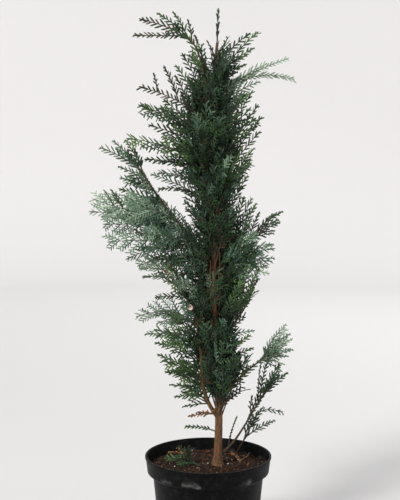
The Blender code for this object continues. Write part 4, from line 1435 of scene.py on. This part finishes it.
def fork(parents, rng):
    """The next finer shoots on many shoots at once."""
    pitch = (PITCH + PITCH_SHARE * parents.length) * BROAD[parents.shade]
    count = np.maximum(2, np.round(parents.length / pitch)).astype(int)
    owner = np.repeat(np.arange(len(count)), count)
    number = np.arange(len(owner)) - np.repeat(np.cumsum(count) - count, count)
    share = (number + rng.uniform(*PLACE_SPREAD, len(owner))) / count[owner]
    side = np.where((number + owner) % 2, 1.0, -1.0)
    long = parents.length[owner]
    length = np.maximum(SHARE * long * (PAST - share), LEAST_TIP) * rng.uniform(*LENGTH_SPREAD, len(owner))
    angle = parents.fork[owner] * np.where(length > FORKS_FROM, 1, TIP_LEAN)
    way, face = parents.way[owner], parents.face[owner]
    root = parents.root[owner] + way * (long * share)[:, None] + face * (CURL * long * share**2)[:, None]
    onward = unit(way + face * (2 * CURL * share)[:, None])
    flat = np.zeros(len(owner))
    shade = parents.shade[owner]
    shade = np.where(rng.uniform(size=len(owner)) < LIT_SHARE, LIGHTER[shade], shade)
    return side_shoots(root, onward, face, side, flat, length, shade, angle, rng)


print("a shoot forks from this length in mm:", FORKS_FROM / MM)

# %% [markdown]
# Now a spray grows. Its twig bulges as the solid's does. Fronds stand along both sides, banked alternately
# up and down, and a last one carries the twig on. They shorten towards the end by the solids' rule, so the
# outline stays close to theirs. The same function clothes the boughs, which on the real plant hardly show.

# %% A spray's twig
TWIG_SPANS = 10
TWIG_RADII = (1.35, 1.3, 0.5)  # in mm: inside its limb, at the bark, and at its tip
BULGE = 4  # a bulge of this many times bow * share * (1 - share) is the bow itself at the middle
BULGE_START = 0.8


def spray_frame(spray):
    """The spray's twig direction and the direction of its upper side."""
    course = compass(spray.bearing, spray.rise)
    level = Vector((0, 0, 1)).cross(compass(spray.bearing, 0))
    upper = course.cross(level)
    upper = upper if upper.z > 0 else -upper
    return course, Matrix.Rotation(math.radians(spray.turn), 3, course) @ upper


def spray_root(spray):
    """A point inside the limb, and where the spray's twig comes out of it."""
    if spray.limb == "soil":
        x, y = SOIL_FEET[spray.name]
        foot = Vector((x * MM, y * MM, SOIL_TOP + 1 * MM))
        return foot - Vector((0, 0, 3 * MM)), foot
    course, upper = spray_frame(spray)
    start = (course + upper * spray.bow * BULGE * BULGE_START).normalized()
    return on_limb(spray.limb, spray.at, start, TWIG_RADII[1] * MM)


def twig_line(spray, root):
    """The points of the spray's twig, which bulges a little upwards."""
    course, upper = (np.array(v) for v in spray_frame(spray))
    share = np.linspace(0, 1, TWIG_SPANS + 1)[:, None]
    bulge = upper * spray.bow * BULGE * share * (1 - share)
    return np.array(root) + spray.reach * MM * (course * share + bulge)


print("twig radii in mm:", TWIG_RADII)

# %% Fronds along a line
FIRST_FROND = 0.07
FROND_PITCH = 4.4 * MM  # between the shortest fronds of one side
FROND_SPACE = 0.26  # how much further apart long fronds stand, as a share of their length
FROND_STARTS = (0.3, 0.8)  # the fronds of the lower side stand half a pitch on
FROND_STRAY = 0.2  # how far one may stand from its place, as a share of the pitch
FROND_SPREAD = (0.78, 1.1)
LAST_FROND = 0.97
FROND_FADE = 0.35  # how much shorter a frond would be at the twig's end
END_FROND = 13 * MM  # the frond that carries the twig on, or a third of a short twig
END_PAST = 1.05
BANK = math.radians(16)  # each frond leaves the spray's plane by this, one up and the next down


def sample(line, share):
    """The points and the directions of a line at these shares of its length."""
    steps = np.linalg.norm(np.diff(line, axis=0), axis=1)
    reached = np.concatenate([[0], np.cumsum(steps)]) / steps.sum()
    points = np.stack([np.interp(share, reached, line[:, k]) for k in range(3)], axis=1)
    directions = np.gradient(line, reached, axis=0)
    return points, unit(np.stack([np.interp(share, reached, directions[:, k]) for k in range(3)], axis=1))


def fronds_along(line, out_of, spray, first, rng):
    """The fronds along both sides of a line, from this share of it on, and the one at its end."""
    reach = spray.reach * MM
    fine = np.mean([BROAD[SHADE_ROWS[name]] for name in TINTS[spray.tint]])
    parts = []
    for side, start, longest in zip((1.0, -1.0), FROND_STARTS, (spray.upper * MM, spray.lower * MM)):
        count = max(3, round(reach * (1 - first) / (FROND_PITCH + FROND_SPACE * longest) / fine))
        number = np.arange(count)
        place = number + start + rng.uniform(-FROND_STRAY, FROND_STRAY, count)
        share = first + (LAST_FROND - first) * place / count
        length = np.minimum(longest * (1 - FROND_FADE * share), spray.slope * (PAST - share) * reach)
        length *= rng.uniform(*FROND_SPREAD, count)
        points, onward = sample(line, share)
        bank = np.where(number % 2, BANK, -BANK)
        shade = shades_along(spray.tint, share, rng)
        normal = np.repeat(out_of[None], count, axis=0)
        sides, angle = np.full(count, side), np.full(count, math.radians(spray.fork))
        parts.append(side_shoots(points, onward, normal, sides, bank, length, shade, angle, rng))
    end = min(END_FROND, reach / 3)
    share = np.array([1 - end / reach])
    points, onward = sample(line, share)
    shade = shades_along(spray.tint, share, rng)
    face = square_to(out_of[None], onward)
    parts.append(Shoots(points, onward, face, np.array([end * END_PAST]), shade, parts[0].fork[:1]))
    return joined(parts)


print("fronds of one side stand this far apart in mm, or more:", FROND_PITCH / MM)

# %% [markdown]
# A single tip is a blunt finger of overlapping scales, flat with a low ridge. Scale by scale it would need
# millions of faces, and from a step away only the finger is seen, so eight triangles make one. The axis of
# each branchlet is the same shape, longer. Ribs and twigs are three-sided tubes.

# %% Tips
TIP_WIDTH = 1.9 * MM
TIP_WIDENS = 0.08  # and this share of its length
TIP_RIDGE = 0.5 * MM
TIP_STATIONS = ((0, 0.38, 0.9), (0.68, 0.5, 1.0), (1.0, 0.2, 0.3))  # along, half width, ridge


def tip_shape():
    """The points and triangles of one finger, along X, folded along its middle."""
    points = [(x, y, z) for x, half, ridge in TIP_STATIONS for y, z in ((-half, 0), (0, ridge), (half, 0))]
    faces = []
    for k in range(len(TIP_STATIONS) - 1):
        for a in (3 * k, 3 * k + 1):
            faces += [(a, a + 3, a + 4), (a, a + 4, a + 1)]
    return np.array(points), np.array(faces)


def tip_arrays(shoots):
    """The points and triangles of a finger for each shoot."""
    shape, shape_faces = tip_shape()
    width = (TIP_WIDTH + TIP_WIDENS * shoots.length) * BROAD[shoots.shade]
    axes = np.stack(
        [
            shoots.way * shoots.length[:, None],
            np.cross(shoots.face, shoots.way) * width[:, None],
            shoots.face * TIP_RIDGE,
        ],
        axis=1,
    )
    points = shoots.root[:, None] + np.einsum("kj,njc->nkc", shape, axes)
    faces = shape_faces[None] + len(shape) * np.arange(len(shoots.length))[:, None, None]
    return points.reshape(-1, 3), faces.reshape(-1, 3)


print("triangles of a tip:", len(tip_shape()[1]))

# %% Tubes
TUBE_SIDES = 3
RIB_STATIONS = 4
RIB_RADII = (1.1 * MM, 0.9 * MM)


def tube_arrays(middles, radii, face):
    """Tubes along many lines at once: middles is (tubes, stations, 3), and radii (tubes, stations)."""
    tubes, stations = radii.shape
    onward = unit(middles[:, -1] - middles[:, 0])
    face = square_to(face, onward)
    across = np.cross(face, onward)
    rings = []
    for corner in range(TUBE_SIDES):
        turn = math.tau * corner / TUBE_SIDES
        out = face * math.cos(turn) + across * math.sin(turn)
        rings.append(middles + out[:, None] * radii[:, :, None])
    points = np.stack(rings, axis=2).reshape(-1, 3)
    size = TUBE_SIDES * stations
    faces = [(0, 2, 1), (size - 3, size - 2, size - 1)]
    for ring in range(0, size - TUBE_SIDES, TUBE_SIDES):
        for corner in range(TUBE_SIDES):
            a, b = ring + corner, ring + (corner + 1) % TUBE_SIDES
            faces += [(a, b, b + TUBE_SIDES), (a, b + TUBE_SIDES, a + TUBE_SIDES)]
    faces = np.array(faces)[None] + size * np.arange(tubes)[:, None, None]
    return points, faces.reshape(-1, 3)


def rib_arrays(shoots):
    """A tube along the whole of each shoot, curled as it is."""
    at = np.linspace(0, 1, RIB_STATIONS)[None, :, None]
    long = shoots.length[:, None, None]
    middles = shoots.root[:, None] + shoots.way[:, None] * long * at
    middles = middles + shoots.face[:, None] * CURL * long * at**2
    radii = np.repeat(np.linspace(*RIB_RADII, RIB_STATIONS)[None], len(shoots.length), axis=0)
    return tube_arrays(middles, radii, shoots.face)


print("triangles of a rib:", 2 + 2 * TUBE_SIDES * (RIB_STATIONS - 1))

# %% [markdown]
# Everything is ready to grow. Young wood has four colours, and each spray's colour mix brings its own. The
# boughs get a sleeve of fronds, so that they are clothed as on the real plant. Each part of the crown then
# becomes two pieces, its leaves and its twigs, because pieces of a few kinds are easy to handle and export.

# %% Young wood and sleeves
TWIG_SHADES = {  # linear colour and roughness of young wood
    "brown": ((0.030, 0.023, 0.016), 0.8),
    "orange": ((0.085, 0.044, 0.021), 0.75),
    "green": ((0.030, 0.048, 0.022), 0.7),
    "grey": ((0.052, 0.062, 0.040), 0.7),
}
TWIG_OF = {"green": "green", "fresh": "green", "blue": "grey", "pale": "grey", "dead": "orange"}
TWIG_ROWS = {tint: list(TWIG_SHADES).index(TWIG_OF.get(tint, "brown")) for tint in TINTS}
twig_materials = plain_materials("twig_", TWIG_SHADES, 0.3)

SLEEVES = (  # bough, zone, its fronds above and below, turn, colour mix, fork, and where they start
    ("left_bough", "left_upper", 24, 7, 0, "blue", 36, 0.16),
    ("left_bough", "great_left", 10, 10, 80, "dark", 34, 0.12),
    ("left_stem", "left_low", 26, 26, 0, "green", 36, 0.10),
    ("left_stem", "left_low", 18, 18, 80, "blue", 34, 0.62),
    ("top_left_bough", "crown_top", 20, 12, 0, "green", 34, 0.3),
    ("right_low_bough", "crown_foot", 9, 15, 0, "green", 32, 0.1),
    ("right_low_bough", "crown_foot", 9, 9, 80, "green", 32, 0.2),
    ("right_base_bough", "crown_foot", 9, 9, 0, "dark", 30, 0.6),
    ("right_limb", "right_side", 22, 4, 0, "dark", 34, 0.15),
    ("right_wing_bough", "right_side", 26, 30, 0, "blue", 34, 0.15),
    ("right_wing_bough", "right_side", 16, 16, 80, "blue", 34, 0.15),
)
SLEEVE_BACK = (0.3, 1, 0)  # the back of an unturned sleeve faces this way, so the camera sees it flat
print("sleeves:", len(SLEEVES))


# %% Growing a spray or a sleeve
def grow(fronds, rng):
    """Short fronds are tips themselves. The others fork, and so do their shoots, until all are tips."""
    made = [fronds.where(fronds.length <= FORKS_FROM)]
    level = fork(fronds.where(fronds.length > FORKS_FROM), rng)
    while len(level.length):
        made.append(level)
        level = fork(level.where(level.length > FORKS_FROM), rng)
    return joined(made)


def grow_spray(spray, seed):
    """The twig, the fronds and the tips of one spray."""
    rng = np.random.default_rng(seed)
    inner, root = spray_root(spray)
    line = twig_line(spray, root)
    lines[spray.name] = [Vector(point) for point in line]
    limb_radii[spray.name] = TWIG_RADII[1] * MM
    course, upper = spray_frame(spray)
    middles = np.concatenate([np.array(inner)[None], line])[None]
    radii = np.concatenate([TWIG_RADII[:1], np.linspace(*TWIG_RADII[1:], len(line))])[None] * MM
    twig = (*tube_arrays(middles, radii, np.array(upper)[None]), TWIG_ROWS[spray.tint])
    fronds = fronds_along(line, np.array(course.cross(upper).normalized()), spray, FIRST_FROND, rng)
    return twig, fronds, grow(fronds, rng)


def grow_sleeve(bough, upper, lower, turn, tint, fork_angle, first, seed):
    """The fronds and the tips that clothe a bough."""
    rng = np.random.default_rng(seed)
    reach = next(limb.length for limb in BOUGHS if limb.name == bough)
    fan = Spray(bough, bough, 0, 0, 0, reach, upper, lower, turn, 0, tint, fork_angle)
    line = np.array([list(point) for point in lines[bough][1:]])
    course = unit(line[-1] - line[0])
    towards = unit(np.cross(course, np.cross(course, SLEEVE_BACK)))[None]
    out_of = turned_by(towards, course[None], np.array([math.radians(turn)]))[0]
    fronds = fronds_along(line, out_of, fan, first, rng)
    return fronds, grow(fronds, rng)


length, shade, angle = np.array([40 * MM]), np.array([0]), np.array([math.radians(37)])
frond = Shoots(np.zeros((1, 3)), x_axis, z_axis, length, shade, angle)
print("tips of one frond of 40 mm:", len(grow(frond, np.random.default_rng(0)).length))

# %% Joining arrays
def join_arrays(parts):
    """Several (points, faces, row or rows) groups as one set of arrays."""
    points, faces, rows, offset = [], [], [], 0
    for part_points, part_faces, row in parts:
        points.append(part_points)
        faces.append(part_faces + offset)
        rows.append(np.broadcast_to(row, len(part_faces)))
        offset += len(part_points)
    return np.concatenate(points), np.concatenate(faces), np.concatenate(rows)


def coloured(points, faces, shoots):
    """Arrays in which each shoot's triangles take its shade."""
    return points, faces, np.repeat(shoots.shade, len(faces) // len(shoots.length))


print("points of two tips as one piece:", len(join_arrays([(*tip_shape(), 0)] * 2)[0]))

# %% Grow every zone
seed = 0
triangles = 0
for zone, sprays in ZONES.items():
    twigs, fronds, tips = [], [], []
    for spray in sprays:
        seed += 1
        twig, own_fronds, own_tips = grow_spray(spray, seed)
        twigs.append(twig)
        fronds.append(own_fronds)
        tips.append(own_tips)
    for bough, place, *fan in SLEEVES:
        if place == zone:
            seed += 1
            own_fronds, own_tips = grow_sleeve(bough, *fan, seed)
            fronds.append(own_fronds)
            tips.append(own_tips)
    fronds, tips = joined(fronds), joined(tips)
    forked = fronds.where(fronds.length > FORKS_FROM)
    parts = [coloured(*tip_arrays(tips), tips), coloured(*rib_arrays(forked), forked)]
    points, faces, rows = join_arrays(parts)
    leaves = mesh_piece("leaves_" + zone, points, faces, leaf_materials, rows)
    points, twig_faces, rows = join_arrays(twigs)
    wood = mesh_piece("twigs_" + zone, points, twig_faces, twig_materials, rows)
    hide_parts(*[spray.name for spray in sprays if spray.name in frame["nodes"]])
    "glaucous_foliage" if zone == "great_left" else "foliage"
    triangles += len(faces) + len(twig_faces)
    print(zone, "fronds:", len(fronds.length), "tips:", len(tips.length), "triangles:", len(faces))
print("foliage triangles:", triangles)

# %% [markdown]
